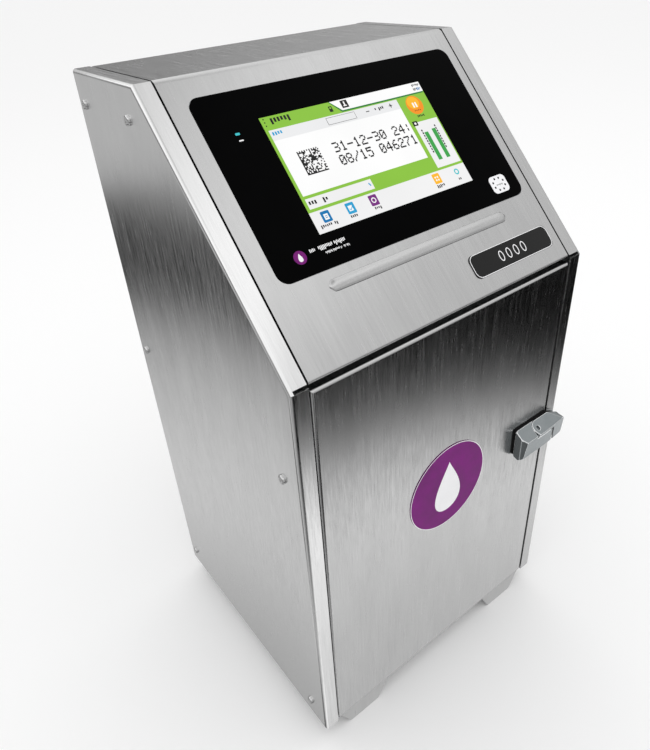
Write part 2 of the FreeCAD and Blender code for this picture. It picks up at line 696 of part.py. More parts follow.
def latch_lever():
    """Wedge lever: hub and slab over the base, a blunt wedge beside it, a lip round the cabinet edge."""
    gap = LATCH_GAP
    low = LATCH_SPLIT_Z + gap
    profile = latch_profile(3.0)
    full = yz_prism(profile, LATCH_PIN_X - LATCH_HUB_R - 2, LATCH_RIGHT)
    full = trim(full, vec(LATCH_RIGHT, FRONT, LATCH_Z1 - 11), vec(0.42, -0.15, 0.89))
    full = trim(full, vec(LATCH_RIGHT, LATCH_FRONT + 6, LATCH_Z0), vec(0.80, -0.60, 0))
    full = full.cut(block(0, LATCH_RIGHT + 1, FRONT - GASKET - gap, FRONT + 1, 0, TOP_Z))
    hub = rod(LATCH_HUB_R, vec(LATCH_PIN_X, LATCH_PIN_Y, low), vec(LATCH_PIN_X, LATCH_PIN_Y, LATCH_Z1))
    arm = block(LATCH_PIN_X, LATCH_RIGHT + 1, LATCH_FRONT - 1, FRONT, low, LATCH_Z1 + 1)
    nose = block(LATCH_PIN_X - LATCH_HUB_R, LATCH_PIN_X, LATCH_FRONT - 1, LATCH_PIN_Y, low, LATCH_Z1 + 1)
    slab_part = full.common(hub.fuse([arm, nose]))
    point, normal = split_plane()
    wedge = trim(full, point.add(normal * gap), normal * -1)
    lever = slab_part.fuse(wedge)
    nose_trim = xy_prism(
        [
            (LATCH_PIN_X - 20, LATCH_PIN_Y),
            (LATCH_PIN_X - LATCH_HUB_R, LATCH_PIN_Y),
            (LATCH_PIN_X - LATCH_HUB_R, LATCH_PIN_Y - 0.5),
            (LATCH_PIN_X - LATCH_HUB_R * 0.35, LATCH_FRONT - 1),
            (LATCH_PIN_X - 20, LATCH_FRONT - 1),
        ],
        low - 1, LATCH_Z1 + 2,
    )
    lip = block(HALF_W + 0.6, LATCH_RIGHT - 1.5, FRONT - GASKET - 4, FRONT + 2.5, LATCH_Z0 + 4, LATCH_Z1 - 12)
    bore_r = LATCH_PIN_R + 0.05
    bore = rod(bore_r, vec(LATCH_PIN_X, LATCH_PIN_Y, low - 1), vec(LATCH_PIN_X, LATCH_PIN_Y, LATCH_Z1 + 1))
    lever = join([lever, lip]).cut([bore, nose_trim])
    return lever


def latch_pin():
    low = LATCH_Z0 + 3
    return rod(LATCH_PIN_R, vec(LATCH_PIN_X, LATCH_PIN_Y, low), vec(LATCH_PIN_X, LATCH_PIN_Y, LATCH_Z1 - 8))


def latch_gasket():
    z0, z1 = LATCH_Z0 + 4, LATCH_Z1 + 1
    plate = xz_prism(
        [(LATCH_LEFT - 1, z0), (SEAM_X - 0.5, z0), (SEAM_X - 0.5, z1), (LATCH_LEFT - 1, z1)],
        FRONT - GASKET, FRONT, [2.0, 1.0, 1.0, 2.0],
    )
    holes = [rod(STUD_HOLE_R, vec(x, FRONT - 5, z), vec(x, FRONT + 1, z)) for x, z in latch_stud_places()]
    return plate.cut(holes)


def latch_nuts():
    nuts = []
    for x, z in latch_stud_places():
        nut = xz_prism(hexagon(x, z, NUT_R), FRONT + SHEET, FRONT + SHEET + NUT_HEIGHT)
        nuts.append(nut.cut(rod(STUD_R, vec(x, FRONT, z), vec(x, FRONT + STUD_REACH + 1, z))))
    return group(nuts)


# Hood

def hood_shell():
    inner = inset(OUTLINE, SHEET)
    back_low = TOP_Z - HOOD_BACK_LIP
    lip_end = FRONT + HOOD_LIP
    points = [
        (HALF_D, back_low),
        (HALF_D, TOP_Z),
        (BEND_Y, TOP_Z),
        (FRONT, LIP_Z),
        (lip_end, LIP_Z),
        (lip_end, LIP_Z + SHEET),
    ]
    angle = math.radians(SLOPE_ANGLE)
    lip_inner = FRONT + SHEET * (1 + math.cos(angle)) / math.sin(angle)
    points += [(lip_inner, LIP_Z + SHEET), inner[2], inner[3], (HALF_D - SHEET, back_low)]
    radii = [0, BEND, 8.0, 1.8, 0, 0, 0.3, 6.5, BEND - SHEET, 0]
    shell = yz_prism(points, -SEAM_X, SEAM_X, radii)
    side_outer = yz_prism(
        [(HALF_D, TOP_Z - HOOD_RETURN - SHEET)] + points[1:4] + [(FRONT + 9.0, LIP_Z)],
        -SEAM_X, -SEAM_X + SHEET, [0, BEND, 8.0, 1.8, 0],
    )
    depth = HOOD_RETURN
    side = side_outer.cut(yz_prism(inset(OUTLINE, depth), -SEAM_X - 1, -SEAM_X + SHEET + 1))
    shell = join([shell, side, mirrored(side)])
    gap = GLASS_GAP
    u0, u1 = up(GLASS_S1) - gap, up(GLASS_S0) + gap
    window = slab(GLASS_X0 - gap, GLASS_X1 + gap, u0, u1, -5, 5, GLASS_R + gap)
    half = BEAD_WIDTH / 2
    bead = slab(BEAD_X0, BEAD_X1, up(BEAD_S) - half, up(BEAD_S) + half, -0.5, BEAD_HEIGHT, half - 0.01)
    top_edges = [e for e in bead.Edges if all(v.Point.z > BEAD_HEIGHT - 0.01 for v in e.Vertexes)]
    bead = bead.makeFillet(BEAD_HEIGHT * 0.85, top_edges)
    return join([shell, on_slope(bead)]).cut(on_slope(window))


def knuckle_spans(moving):
    pitch = 2 * HINGE_HALF / KNUCKLES
    spans = []
    for k in range(KNUCKLES):
        if (k % 2 == 1) == moving:
            start = -HINGE_HALF + k * pitch
            spans.append((start + KNUCKLE_GAP / 2, start + pitch - KNUCKLE_GAP / 2))
    return spans


def hinge_leaf(moving):
    bore = HINGE_PIN_R + (0.05 if moving else 0.0)
    if moving:
        y0 = HALF_D
        plate = block(-HINGE_HALF, HINGE_HALF, y0, y0 + LEAF, HINGE_Z + KNUCKLE_R, TOP_Z - 5)
    else:
        y0 = HALF_D - SHEET
        plate = block(-HINGE_HALF, HINGE_HALF, y0, y0 + LEAF, HINGE_Z - 24, HINGE_Z - KNUCKLE_R)
    pieces = [plate]
    for x0, x1 in knuckle_spans(moving):
        pieces.append(rod(KNUCKLE_R, vec(x0, HINGE_Y, HINGE_Z), vec(x1, HINGE_Y, HINGE_Z)))
        z_side = HINGE_Z + KNUCKLE_R if moving else HINGE_Z - KNUCKLE_R
        z0, z1 = (HINGE_Z, z_side + 1.2) if moving else (z_side - 1.2, HINGE_Z)
        pieces.append(block(x0, x1, y0, HINGE_Y, z_side - 0.6, z_side + 0.6))
        pieces.append(block(x0, x1, HINGE_Y - KNUCKLE_R, HINGE_Y - KNUCKLE_R + 1.2, z0, z1))
    whole = join(pieces)
    return whole.cut(rod(bore, vec(-HINGE_HALF - 5, HINGE_Y, HINGE_Z), vec(HINGE_HALF + 5, HINGE_Y, HINGE_Z)))


def hood_hinge_pin():
    return rod(HINGE_PIN_R, vec(-HINGE_HALF - 1, HINGE_Y, HINGE_Z), vec(HINGE_HALF + 1, HINGE_Y, HINGE_Z))


def display_frame():
    u0, u1 = up(GLASS_S1), up(GLASS_S0)
    m, land = BEZEL_MARGIN, BEZEL_LAND
    outer = slab(GLASS_X0 - m, GLASS_X1 + m - 2, u0 - m, u1 + m, -2 * SHEET, -SHEET, GLASS_R + 2)
    hole = slab(GLASS_X0 + land, GLASS_X1 - land, u0 + land, u1 - land, -9, 1, 4.0)
    return on_slope(outer.cut(hole))


def display_glass():
    back = GLASS_PROUD - GLASS_THICK
    plate = slab(GLASS_X0, GLASS_X1, up(GLASS_S1), up(GLASS_S0), back, GLASS_PROUD, GLASS_R)
    rim = [e for e in plate.Edges if all(v.Point.z > GLASS_PROUD - 0.01 for v in e.Vertexes)]
    return on_slope(plate.makeFillet(0.25, rim))


def display_module():
    top = GLASS_PROUD - GLASS_THICK
    return on_slope(slab(LCD_X0, LCD_X1, up(LCD_S1), up(LCD_S0), top - LCD_THICK, top, 1.5))


def display_board():
    """Controller board on four spacers behind the module, with its main chips."""
    top = GLASS_PROUD - GLASS_THICK - LCD_THICK
    board_top = top - 4.0
    x0, x1, u0, u1 = LCD_X0 + 6, LCD_X1 - 6, up(LCD_S1) + 6, up(LCD_S0) - 6
    pieces = [slab(x0, x1, u0, u1, board_top - BOARD_SHEET, board_top, 2.0)]
    for x in (x0 + 5, x1 - 5):
        for u in (u0 + 5, u1 - 5):
            pieces.append(rod(2.5, vec(x, u, board_top), vec(x, u, top)))
    low = board_top - BOARD_SHEET
    for k in range(3):
        x = x0 + 25 + 42 * k
        pieces.append(slab(x, x + 16, u0 + 30, u0 + 46, low - 2.5, low, 0.5))
    pieces.append(slab(x0 + 10, x0 + 50, u1 - 16, u1 - 8, low - 6, low, 0.5))
    return on_slope(join(pieces))


def display_cover():
    """Folded cover over the back of the display, fixed to the frame."""
    u0, u1 = up(GLASS_S1) + 1, up(GLASS_S0) - 1
    x0, x1 = GLASS_X0 + 3, GLASS_X1 - 3
    outer = slab(x0, x1, u0, u1, -COVER_DEPTH, -2 * SHEET, 3.0)
    inner = slab(x0 + SHEET, x1 - SHEET, u0 + SHEET, u1 - SHEET, -COVER_DEPTH + SHEET, 0, 1.5)
    slots = []
    for k in range(10):
        x = x0 + 40 + 14 * k
        slots.append(slab(x, x + 6, u0 + 20, u0 + 60, -COVER_DEPTH - 1, -COVER_DEPTH + 3, 2.9))
    return on_slope(outer.cut([inner] + slots))


def badge_plate():
    return on_slope(slab(BADGE_X0, BADGE_X1, up(BADGE_S1), up(BADGE_S0), 0, BADGE_THICK, BADGE_R))


def scan_tag():
    w, h, u = TAG_W / 2, TAG_H / 2, up(TAG_S)
    return on_slope(slab(TAG_X - w, TAG_X + w, u - h, u + h, GLASS_PROUD, GLASS_PROUD + TAG_THICK, TAG_R))


# Back panel and what it carries

def back_screw_places():
    x = INNER_X - BACK_SCREW_IN
    rows = [FOOT_HEIGHT + rise for rise in (23.0, 148.0, 278.0)] + [TOP_Z - drop for drop in (155.0, 55.0)]
    return [(side * x, z) for side in (-1, 1) for z in rows]


def back_panel():
    back = HALF_D - SHEET
    half = INNER_X - (BEND - SHEET)
    plate = block(-half, half, back - SHEET, back, FOOT_HEIGHT + BEND, HINGE_Z - KNUCKLE_R)
    gland_hole = GLAND_R - GLAND_THREAD_STEP + SHEET_PLAY
    rounds = [(FAN_BORE_R, FAN_X, FAN_Z), (gland_hole, GLAND_X, GLAND_Z)]
    rounds += [(PORT_R, x, SOCKET_Z) for x in PORT_X]
    rounds += [(SCREW_HOLE_R, x, z) for x, z in back_screw_places()]
    cuts = [rod(radius, vec(x, back - 9, z), vec(x, back + 1, z)) for radius, x, z in rounds]
    for x, wide, high in ((INLET_X, INLET_W, INLET_H), (SWITCH_X, SWITCH_W, SWITCH_H)):
        cuts.append(
            block(x - wide / 2, x + wide / 2, back - 9, back + 1, SOCKET_Z - high / 2, SOCKET_Z + high / 2)
        )
    for row in range(SLOT_ROWS):
        for column in range(SLOT_COLUMNS):
            x = SLOT_X + SLOT_PITCH_X * column
            z = FOOT_HEIGHT + SLOT_RISE + SLOT_PITCH_Z * row
            cuts.append(block(x, x + SLOT_WIDTH, back - 9, back + 1, z, z + SLOT_HEIGHT))
    return plate.cut(cuts)


def back_screws():
    return group([screw(vec(x, HALF_D, z), vec(0, 1, 0)) for x, z in back_screw_places()])


def side_panel_back_holes():
    return [rod(SCREW_HOLE_R, vec(x, HALF_D - 4, z), vec(x, HALF_D + 1, z)) for x, z in back_screw_places()]


def fan_face():
    return HALF_D - 2 * SHEET


def fan_frame():
    y1 = fan_face()
    y0 = y1 - FAN_DEPTH
    half = FAN_SIZE / 2
    corners = rectangle(FAN_X - half, FAN_X + half, FAN_Z - half, FAN_Z + half)
    body = xz_prism(corners, y0, y1, [4.0] * 4)
    body = body.cut(rod(FAN_BORE_R, vec(FAN_X, y0 - 1, FAN_Z), vec(FAN_X, y1 + 1, FAN_Z)))
    waist = xz_prism(corners, y0 + 4, y1 - 4, [4.0] * 4).cut(
        rod(FAN_BORE_R + 1.6, vec(FAN_X, y0, FAN_Z), vec(FAN_X, y1, FAN_Z))
    )
    corner = half - 4.5
    keep = []
    for a, b in rectangle(-corner, corner, -corner, corner):
        keep.append(rod(5.5, vec(FAN_X + a, y0, FAN_Z + b), vec(FAN_X + a, y1, FAN_Z + b)))
    body = body.cut(waist.cut(keep))
    motor = rod(FAN_HUB_R, vec(FAN_X, y0, FAN_Z), vec(FAN_X, y0 + 3, FAN_Z))
    struts = []
    for k in range(3):
        strut = block(FAN_X, FAN_X + FAN_BORE_R + 0.8, y0, y0 + 3, FAN_Z - 2, FAN_Z + 2)
        strut.rotate(vec(FAN_X, 0, FAN_Z), vec(0, 1, 0), 120 * k)
        struts.append(strut)
    shaft = rod(FAN_SHAFT_R, vec(FAN_X, y0 + 3, FAN_Z), vec(FAN_X, y0 + 12, FAN_Z))
    return join([body, motor, shaft] + struts)


def fan_rotor():
    y0 = fan_face() - FAN_DEPTH + 3.5
    y1 = fan_face() - 1.5
    hub = rod(FAN_HUB_R, vec(FAN_X, y0, FAN_Z), vec(FAN_X, y1, FAN_Z))
    hub = hub.cut(rod(FAN_SHAFT_R + PIN_CLEARANCE, vec(FAN_X, y0 - 1, FAN_Z), vec(FAN_X, y0 + 10, FAN_Z)))
    blades = []
    tip = FAN_BORE_R - FAN_TIP_GAP
    for k in range(7):
        blade = Part.makeBox(tip - FAN_HUB_R + 1.5, 1.2, 17, vec(FAN_HUB_R - 1.5, -0.6, -8.5))
        blade.rotate(vec(0, 0, 0), vec(1, 0, 0), 38)
        blade.rotate(vec(0, 0, 0), vec(1, 0, 0), 90)
        blade.translate(vec(FAN_X, (y0 + y1) / 2, FAN_Z))
        blade.rotate(vec(FAN_X, 0, FAN_Z), vec(0, 1, 0), 360.0 / 7 * k)
        blades.append(blade)
    rotor = join([hub] + blades)
    return rotor.common(rod(tip, vec(FAN_X, y0, FAN_Z), vec(FAN_X, y1, FAN_Z)))


def fan_guard():
    """Wire guard over the fan on the outside of the back panel."""
    y0 = HALF_D - SHEET
    centre = vec(FAN_X, y0 + 2.2, FAN_Z)
    pieces = [Part.makeTorus(r, 0.9, centre, vec(0, 1, 0)) for r in (12.0, 21.0, 30.0, 39.0)]
    for angle in (45, 135):
        bar = rod(0.9, vec(FAN_X - 48, y0 + 0.9, FAN_Z), vec(FAN_X + 48, y0 + 0.9, FAN_Z))
        bar.rotate(vec(FAN_X, 0, FAN_Z), vec(0, 1, 0), angle)
        pieces.append(bar)
    return join(pieces)


def umbilical_gland():
    """Gland without its hose: flange outside the back panel, threaded body and dome."""
    y = HALF_D - SHEET
    pieces = [rod(GLAND_R, vec(GLAND_X, y, GLAND_Z), vec(GLAND_X, y + 4, GLAND_Z))]
    body_r = GLAND_R - GLAND_THREAD_STEP
    pieces.append(rod(body_r, vec(GLAND_X, y - 14, GLAND_Z), vec(GLAND_X, y, GLAND_Z)))
    pieces.append(xz_prism(hexagon(GLAND_X, GLAND_Z, GLAND_R - 1), y + 4, y + 12))
    pieces.append(Part.makeCone(body_r, body_r - 3, 10, vec(GLAND_X, y + 12, GLAND_Z), vec(0, 1, 0)))
    whole = join(pieces)
    return whole.cut(rod(GLAND_BORE_R, vec(GLAND_X, y - 20, GLAND_Z), vec(GLAND_X, y + 30, GLAND_Z)))


def gland_nut():
    y1 = HALF_D - 2 * SHEET
    nut = xz_prism(hexagon(GLAND_X, GLAND_Z, GLAND_R + 1), y1 - 6, y1)
    body_r = GLAND_R - GLAND_THREAD_STEP
    return nut.cut(rod(body_r, vec(GLAND_X, y1 - 9, GLAND_Z), vec(GLAND_X, y1 + 1, GLAND_Z)))


def power_inlet():
    """Mains appliance inlet: shroud with three recessed blades."""
    y = HALF_D - SHEET
    outline = rectangle(INLET_X - 20, INLET_X + 20, SOCKET_Z - 14, SOCKET_Z + 14)
    flange = xz_prism(outline, y, y + 2.5, [4.0] * 4)
    wide, high = INLET_W / 2 - CUTOUT_PLAY, INLET_H / 2 - CUTOUT_PLAY
    body = block(INLET_X - wide, INLET_X + wide, y - 20, y, SOCKET_Z - high, SOCKET_Z + high)
    mouth = [(-11, -7.5), (11, -7.5), (11, 4), (7.5, 7.5), (-7.5, 7.5), (-11, 4)]
    recess = xz_prism([(INLET_X + dx, SOCKET_Z + dz) for dx, dz in mouth], y - 16, y + 5)
    blades = []
    for dx, dz in ((-6.5, -2.5), (6.5, -2.5), (0, 2.0)):
        x, z = INLET_X + dx, SOCKET_Z + dz
        blades.append(block(x - 1, x + 1, y - 17, y - 5, z - 2, z + 2))
    return join([flange.fuse(body).cut(recess)] + blades)


def switch_frame():
    y = HALF_D - SHEET
    outline = rectangle(SWITCH_X - 9, SWITCH_X + 9, SOCKET_Z - 12, SOCKET_Z + 12)
    flange = xz_prism(outline, y, y + 2, [2.0] * 4)
    wide, high = SWITCH_W / 2 - CUTOUT_PLAY, SWITCH_H / 2 - CUTOUT_PLAY
    body = block(SWITCH_X - wide, SWITCH_X + wide, y - 16, y, SOCKET_Z - high, SOCKET_Z + high)
    wide_in, high_in = wide - SWITCH_WALL, high - SWITCH_WALL
    room = block(SWITCH_X - wide_in, SWITCH_X + wide_in, y - 9, y + 4, SOCKET_Z - high_in, SOCKET_Z + high_in)
    axle_r = SWITCH_AXLE_R + PIN_CLEARANCE
    axle_holes = rod(axle_r, vec(SWITCH_X - wide, y - 3, SOCKET_Z), vec(SWITCH_X + wide, y - 3, SOCKET_Z))
    return flange.fuse(body).cut([room, axle_holes])


def switch_rocker():
    """Rocker pressed in at its lower half; it tips about a short axle."""
    y = HALF_D - SHEET
    profile = [(-6, -3), (0.6, -7.4), (1.2, 0), (3.4, 7.0), (-0.5, 7.6), (-6, 3)]
    half = SWITCH_W / 2 - CUTOUT_PLAY - SWITCH_WALL - ROCKER_GAP
    body = yz_prism([(y + dy, SOCKET_Z + dz) for dy, dz in profile], SWITCH_X - half, SWITCH_X + half)
    reach = SWITCH_W / 2 - CUTOUT_PLAY - AXLE_END_GAP
    axle = rod(SWITCH_AXLE_R, vec(SWITCH_X - reach, y - 3, SOCKET_Z), vec(SWITCH_X + reach, y - 3, SOCKET_Z))
    return join([body, axle])


def signal_ports():
    """Round threaded sensor and alarm sockets through the back panel."""
    y = HALF_D - SHEET
    z = SOCKET_Z
    ports = []
    for x in PORT_X:
        barrel = rod(PORT_R - 0.1, vec(x, y - 12, z), vec(x, y + 9, z))
        shell = rod(PORT_R + 2, vec(x, y, z), vec(x, y + 2.5, z)).fuse(barrel)
        recess = rod(PORT_R - 1.6, vec(x, y + 1, z), vec(x, y + 10, z))
        pins = []
        for k in range(4):
            angle = math.pi / 2 * k + 0.6
            px, pz = x + 2.4 * math.cos(angle), z + 2.4 * math.sin(angle)
            pins.append(rod(0.5, vec(px, y, pz), vec(px, y + 4, pz)))
        ports.append(join([shell.cut(recess)] + pins))
    return group(ports)


# Electronics on the shelf

def main_board():
    """Control board on four spacers, with its chips, heat sink and connectors."""
    z = SHELF_Z + BOARD_LIFT
    y0 = BOARD_Y1 - BOARD_D
    pieces = [block(BOARD_X0, BOARD_X0 + BOARD_W, y0, BOARD_Y1, z, z + BOARD_SHEET)]
    top = z + BOARD_SHEET
    for x, y, w, d, h in BOARD_PARTS:
        pieces.append(block(BOARD_X0 + x, BOARD_X0 + x + w, y0 + y, y0 + y + d, top, top + h))
    board = join(pieces)
    holes = [rod(1.6, vec(x, y, z - 1), vec(x, y, z + 5)) for x, y in board_corners()]
    return board.cut(holes)


def board_corners():
    x0, x1 = BOARD_X0 + BOARD_HOLE_IN, BOARD_X0 + BOARD_W - BOARD_HOLE_IN
    y0, y1 = BOARD_Y1 - BOARD_D + BOARD_HOLE_IN, BOARD_Y1 - BOARD_HOLE_IN
    return rectangle(x0, x1, y0, y1)


def board_spacers():
    z = SHELF_Z
    under = z + BOARD_LIFT
    top = under + BOARD_SHEET + 2
    return [rod(3.0, vec(x, y, z), vec(x, y, under)).fuse(rod(1.5, vec(x, y, under), vec(x, y, top)))
            for x, y in board_corners()]


def power_supply():
    """Closed case with air slots in its lid and a row of terminals at the back."""
    x0, x1 = SUPPLY_X0, SUPPLY_X0 + SUPPLY_W
    y0, y1 = SUPPLY_Y1 - SUPPLY_D, SUPPLY_Y1
    z0, z1 = SHELF_Z, SHELF_Z + SUPPLY_H
    case = block(x0, x1, y0, y1, z0, z1)
    hollow = block(x0 + SHEET, x1 - SHEET, y0 + SHEET, y1 - 15, z0 + SHEET, z1 - SHEET)
    slots = []
    for row in range(7):
        y = y0 + 20 + 14 * row
        slots.append(xy_prism(rectangle(x0 + 13, x1 - 13, y, y + 5), z1 - 2 * SHEET, z1 + 1, [2.4] * 4))
    terminals = []
    for k in range(TERMINALS):
        x = x0 + 7 + TERMINAL_PITCH * k
        terminals.append(block(x, x + 9, y1, y1 + TERMINAL_DEPTH, z0 + 6, z0 + 18))
    return join([case.cut([hollow] + slots)] + terminals)


# Ink system

def gear(centre_x, centre_z, y0, bore, phase):
    """Spur gear with straight-flanked teeth, its axis along y."""
    pitch_r = GEAR_MODULE * GEAR_TEETH / 2
    tip, root = pitch_r + GEAR_MODULE * 0.85, pitch_r - GEAR_MODULE * 1.2
    step = 2 * math.pi / GEAR_TEETH
    points = []
    for k in range(GEAR_TEETH):
        middle = step * k + phase
        flank = [(root, -0.33), (pitch_r, -0.235), (tip, -0.11), (tip, 0.11), (pitch_r, 0.235), (root, 0.33)]
        for radius, share in flank:
            angle = middle + share * step
            points.append((centre_x + radius * math.cos(angle), centre_z + radius * math.sin(angle)))
    body = xz_prism(points, y0, y0 + GEAR_WIDTH)
    return body.cut(rod(bore, vec(centre_x, y0 - 1, centre_z), vec(centre_x, y0 + GEAR_WIDTH + 1, centre_z)))


def idler_x():
    return PUMP_X + GEAR_MODULE * GEAR_TEETH


def gear_y():
    return BLOCK_Y0 - 14.0


def drive_gear():
    y0 = gear_y()
    wheel = gear(PUMP_X, PUMP_Z, y0, GEAR_BORE_R, 0.0)
    shaft = rod(GEAR_SHAFT_R, vec(PUMP_X, y0 - 2, PUMP_Z), vec(PUMP_X, BLOCK_Y0 + 6, PUMP_Z))
    return join([wheel, shaft])


def idler_gear():
    y0 = gear_y()
    wheel = gear(idler_x(), PUMP_Z, y0, GEAR_BORE_R, math.pi / GEAR_TEETH + math.pi)
    shaft = rod(GEAR_SHAFT_R, vec(idler_x(), y0 - 2, PUMP_Z), vec(idler_x(), BLOCK_Y0 + 6, PUMP_Z))
    return join([wheel, shaft])


def manifold():
    block_shape = block(BLOCK_X0, BLOCK_X1, BLOCK_Y0, BLOCK_Y1, BLOCK_Z0, BLOCK_Z1)
    bore_r = GEAR_SHAFT_R + GEAR_SHAFT_PLAY
    bores = [
        rod(bore_r, vec(x, BLOCK_Y0 - 1, PUMP_Z), vec(x, BLOCK_Y0 + 8, PUMP_Z))
        for x in (PUMP_X, idler_x())
    ]
    ports = []
    for z in (BLOCK_Z0 + 15, BLOCK_Z1 - 15):
        ports.append(rod(2.0, vec(BLOCK_X1 - 6, BLOCK_Y0 + 15, z), vec(BLOCK_X1 + 1, BLOCK_Y0 + 15, z)))
    return block_shape.makeFillet(1.0, block_shape.Edges).cut(bores + ports)


def manifold_bracket():
    """Bracket that carries the manifold from the back panel."""
    back = HALF_D - 2 * SHEET
    x0, x1, z0, z1 = BLOCK_X0 - 4, BLOCK_X1 + 4, BLOCK_Z0 - 8, BLOCK_Z1 + 8
    plate = block(x0, x1, BLOCK_Y1, BLOCK_Y1 + BRACKET_SHEET, z0, z1)
    sides = [block(x, x + BRACKET_SHEET, BLOCK_Y1, back, z0, z1) for x in (x0, x1 - BRACKET_SHEET)]
    feet = block(x0, x1, back - BRACKET_SHEET, back, z0, z0 + 10)
    motor_x = PUMP_X + MOTOR_OFFSET
    motor_hole = rod(MOTOR_R + 0.6, vec(motor_x, BLOCK_Y1 - 1, PUMP_Z), vec(motor_x, BLOCK_Y1 + 3, PUMP_Z))
    return join([plate, feet] + sides).cut(motor_hole)


def pump_cover():
    """Clear cap over the two pump gears, screwed to the manifold."""
    y0 = gear_y() - 5
    x0, x1 = PUMP_X - 17, idler_x() + 17
    outer = xz_prism(rectangle(x0, x1, PUMP_Z - 17, PUMP_Z + 17), y0, BLOCK_Y0, [8.0] * 4)
    inner = rectangle(x0 + 3, x1 - 3, PUMP_Z - 14, PUMP_Z + 14)
    hollow = xz_prism(inner, y0 + 2.5, BLOCK_Y0 + 1, [6.0] * 4)
    return outer.cut(hollow)


def pump_motor():
    y0 = BLOCK_Y1
    x = PUMP_X + MOTOR_OFFSET
    y1 = y0 + MOTOR_LENGTH
    body = rod(MOTOR_R, vec(x, y0, PUMP_Z), vec(x, y1, PUMP_Z))
    body = body.makeFillet(2.0, [e for e in body.Edges if e.Closed and e.CenterOfMass.y > y1 - 1])
    boss = rod(6.0, vec(x, y1, PUMP_Z), vec(x, y1 + 4, PUMP_Z))
    return join([body, boss])


def valves():
    bodies = []
    y = (BLOCK_Y0 + BLOCK_Y1) / 2
    base_top = BLOCK_Z1 + VALVE_BASE
    coil_top = base_top + VALVE_COIL
    for k in range(VALVE_COUNT):
        x = BLOCK_X0 + VALVE_IN + VALVE_PITCH * k
        base = block(x - 8, x + 8, y - 10, y + 10, BLOCK_Z1, base_top)
        coil = rod(9.0, vec(x, y, base_top), vec(x, y, coil_top))
        cap = rod(3.5, vec(x, y, coil_top), vec(x, y, coil_top + VALVE_CAP))
        bodies.append(join([base, coil, cap]))
    return group(bodies)


def ink_filter():
    """Filter canister that hangs in front of the block from its own bent pipe."""
    x, y = BLOCK_X1 - FILTER_IN, BLOCK_Y0 - FILTER_FORWARD
    top = BLOCK_Z0 + FILTER_TOP
    low = top - FILTER_LENGTH
    pipe_z = BLOCK_Z0 + FILTER_PIPE_RISE
    body = rod(FILTER_R, vec(x, y, low), vec(x, y, top))
    ends = [rod(FILTER_RIM_R, vec(x, y, z), vec(x, y, z + FILTER_RIM)) for z in (low, top - FILTER_RIM)]
    stem = rod(FILTER_PIPE_R, vec(x, y, top), vec(x, y, pipe_z))
    pipe = rod(FILTER_PIPE_R, vec(x, y, pipe_z), vec(x, BLOCK_Y0, pipe_z))
    elbow = Part.makeSphere(FILTER_PIPE_R, vec(x, y, pipe_z))
    return join([body, stem, pipe, elbow] + ends)


def neck_place():
    return TANK_X0 + NECK_X, TANK_Y0 + NECK_Y


def tank():
    body = block(TANK_X0, TANK_X1, TANK_Y0, TANK_Y1, TANK_Z0, TANK_Z1)
    body = body.makeFillet(6.0, body.Edges)
    wall = TANK_WALL
    x0, x1, y0, y1 = TANK_X0 + wall, TANK_X1 - wall, TANK_Y0 + wall, TANK_Y1 - wall
    inner = block(x0, x1, y0, y1, TANK_Z0 + wall, TANK_Z1 - wall)
    inner = inner.makeFillet(6.0 - wall, inner.Edges)
    x, y = neck_place()
    neck = rod(NECK_R, vec(x, y, TANK_Z1 - 1), vec(x, y, TANK_Z1 + NECK_H))
    hole = rod(HOSE_R, vec(x, y, TANK_Z1 - 9), vec(x, y, TANK_Z1 + NECK_H + 1))
    return join([body.cut(inner), neck]).cut(hole)


def tank_bracket():
    sheet = BRACKET_SHEET
    under = TANK_Z0 - sheet
    left, right = TANK_X0 + 4, TANK_X1 - 4
    tray = block(TANK_X0, TANK_X1, TANK_Y0, TANK_Y1, under, TANK_Z0)
    legs = [block(x, x + sheet, TANK_Y0, TANK_Y1, FLOOR, under) for x in (left, right - sheet)]
    feet = [block(x, x + 14, TANK_Y0, TANK_Y1, FLOOR, FLOOR + sheet) for x in (left, right - 14)]
    return join([tray] + legs + feet)


def feed_hose():
    """Hose from the tank's neck over to the manifold's left face."""
    x, y = neck_place()
    over = TANK_Z1 + NECK_H + HOSE_RISE
    start = vec(x, y, TANK_Z1 + NECK_H)
    end = vec(BLOCK_X0, y, over)
    arc_start = vec(x, y, over - HOSE_BEND)
    arc_end = vec(x + HOSE_BEND, y, over)
    middle = vec(x + HOSE_BEND, y, over - HOSE_BEND).add(vec(-1, 0, 1).normalize() * HOSE_BEND)
    edges = [
        Part.LineSegment(start, arc_start).toShape(),
        Part.Arc(arc_start, middle, arc_end).toShape(),
        Part.LineSegment(arc_end, end).toShape(),
    ]
    section = Part.Wire([Part.Circle(start, vec(0, 0, 1), HOSE_R).toShape()])
    return Part.Wire(edges).makePipeShell([section], True, False)


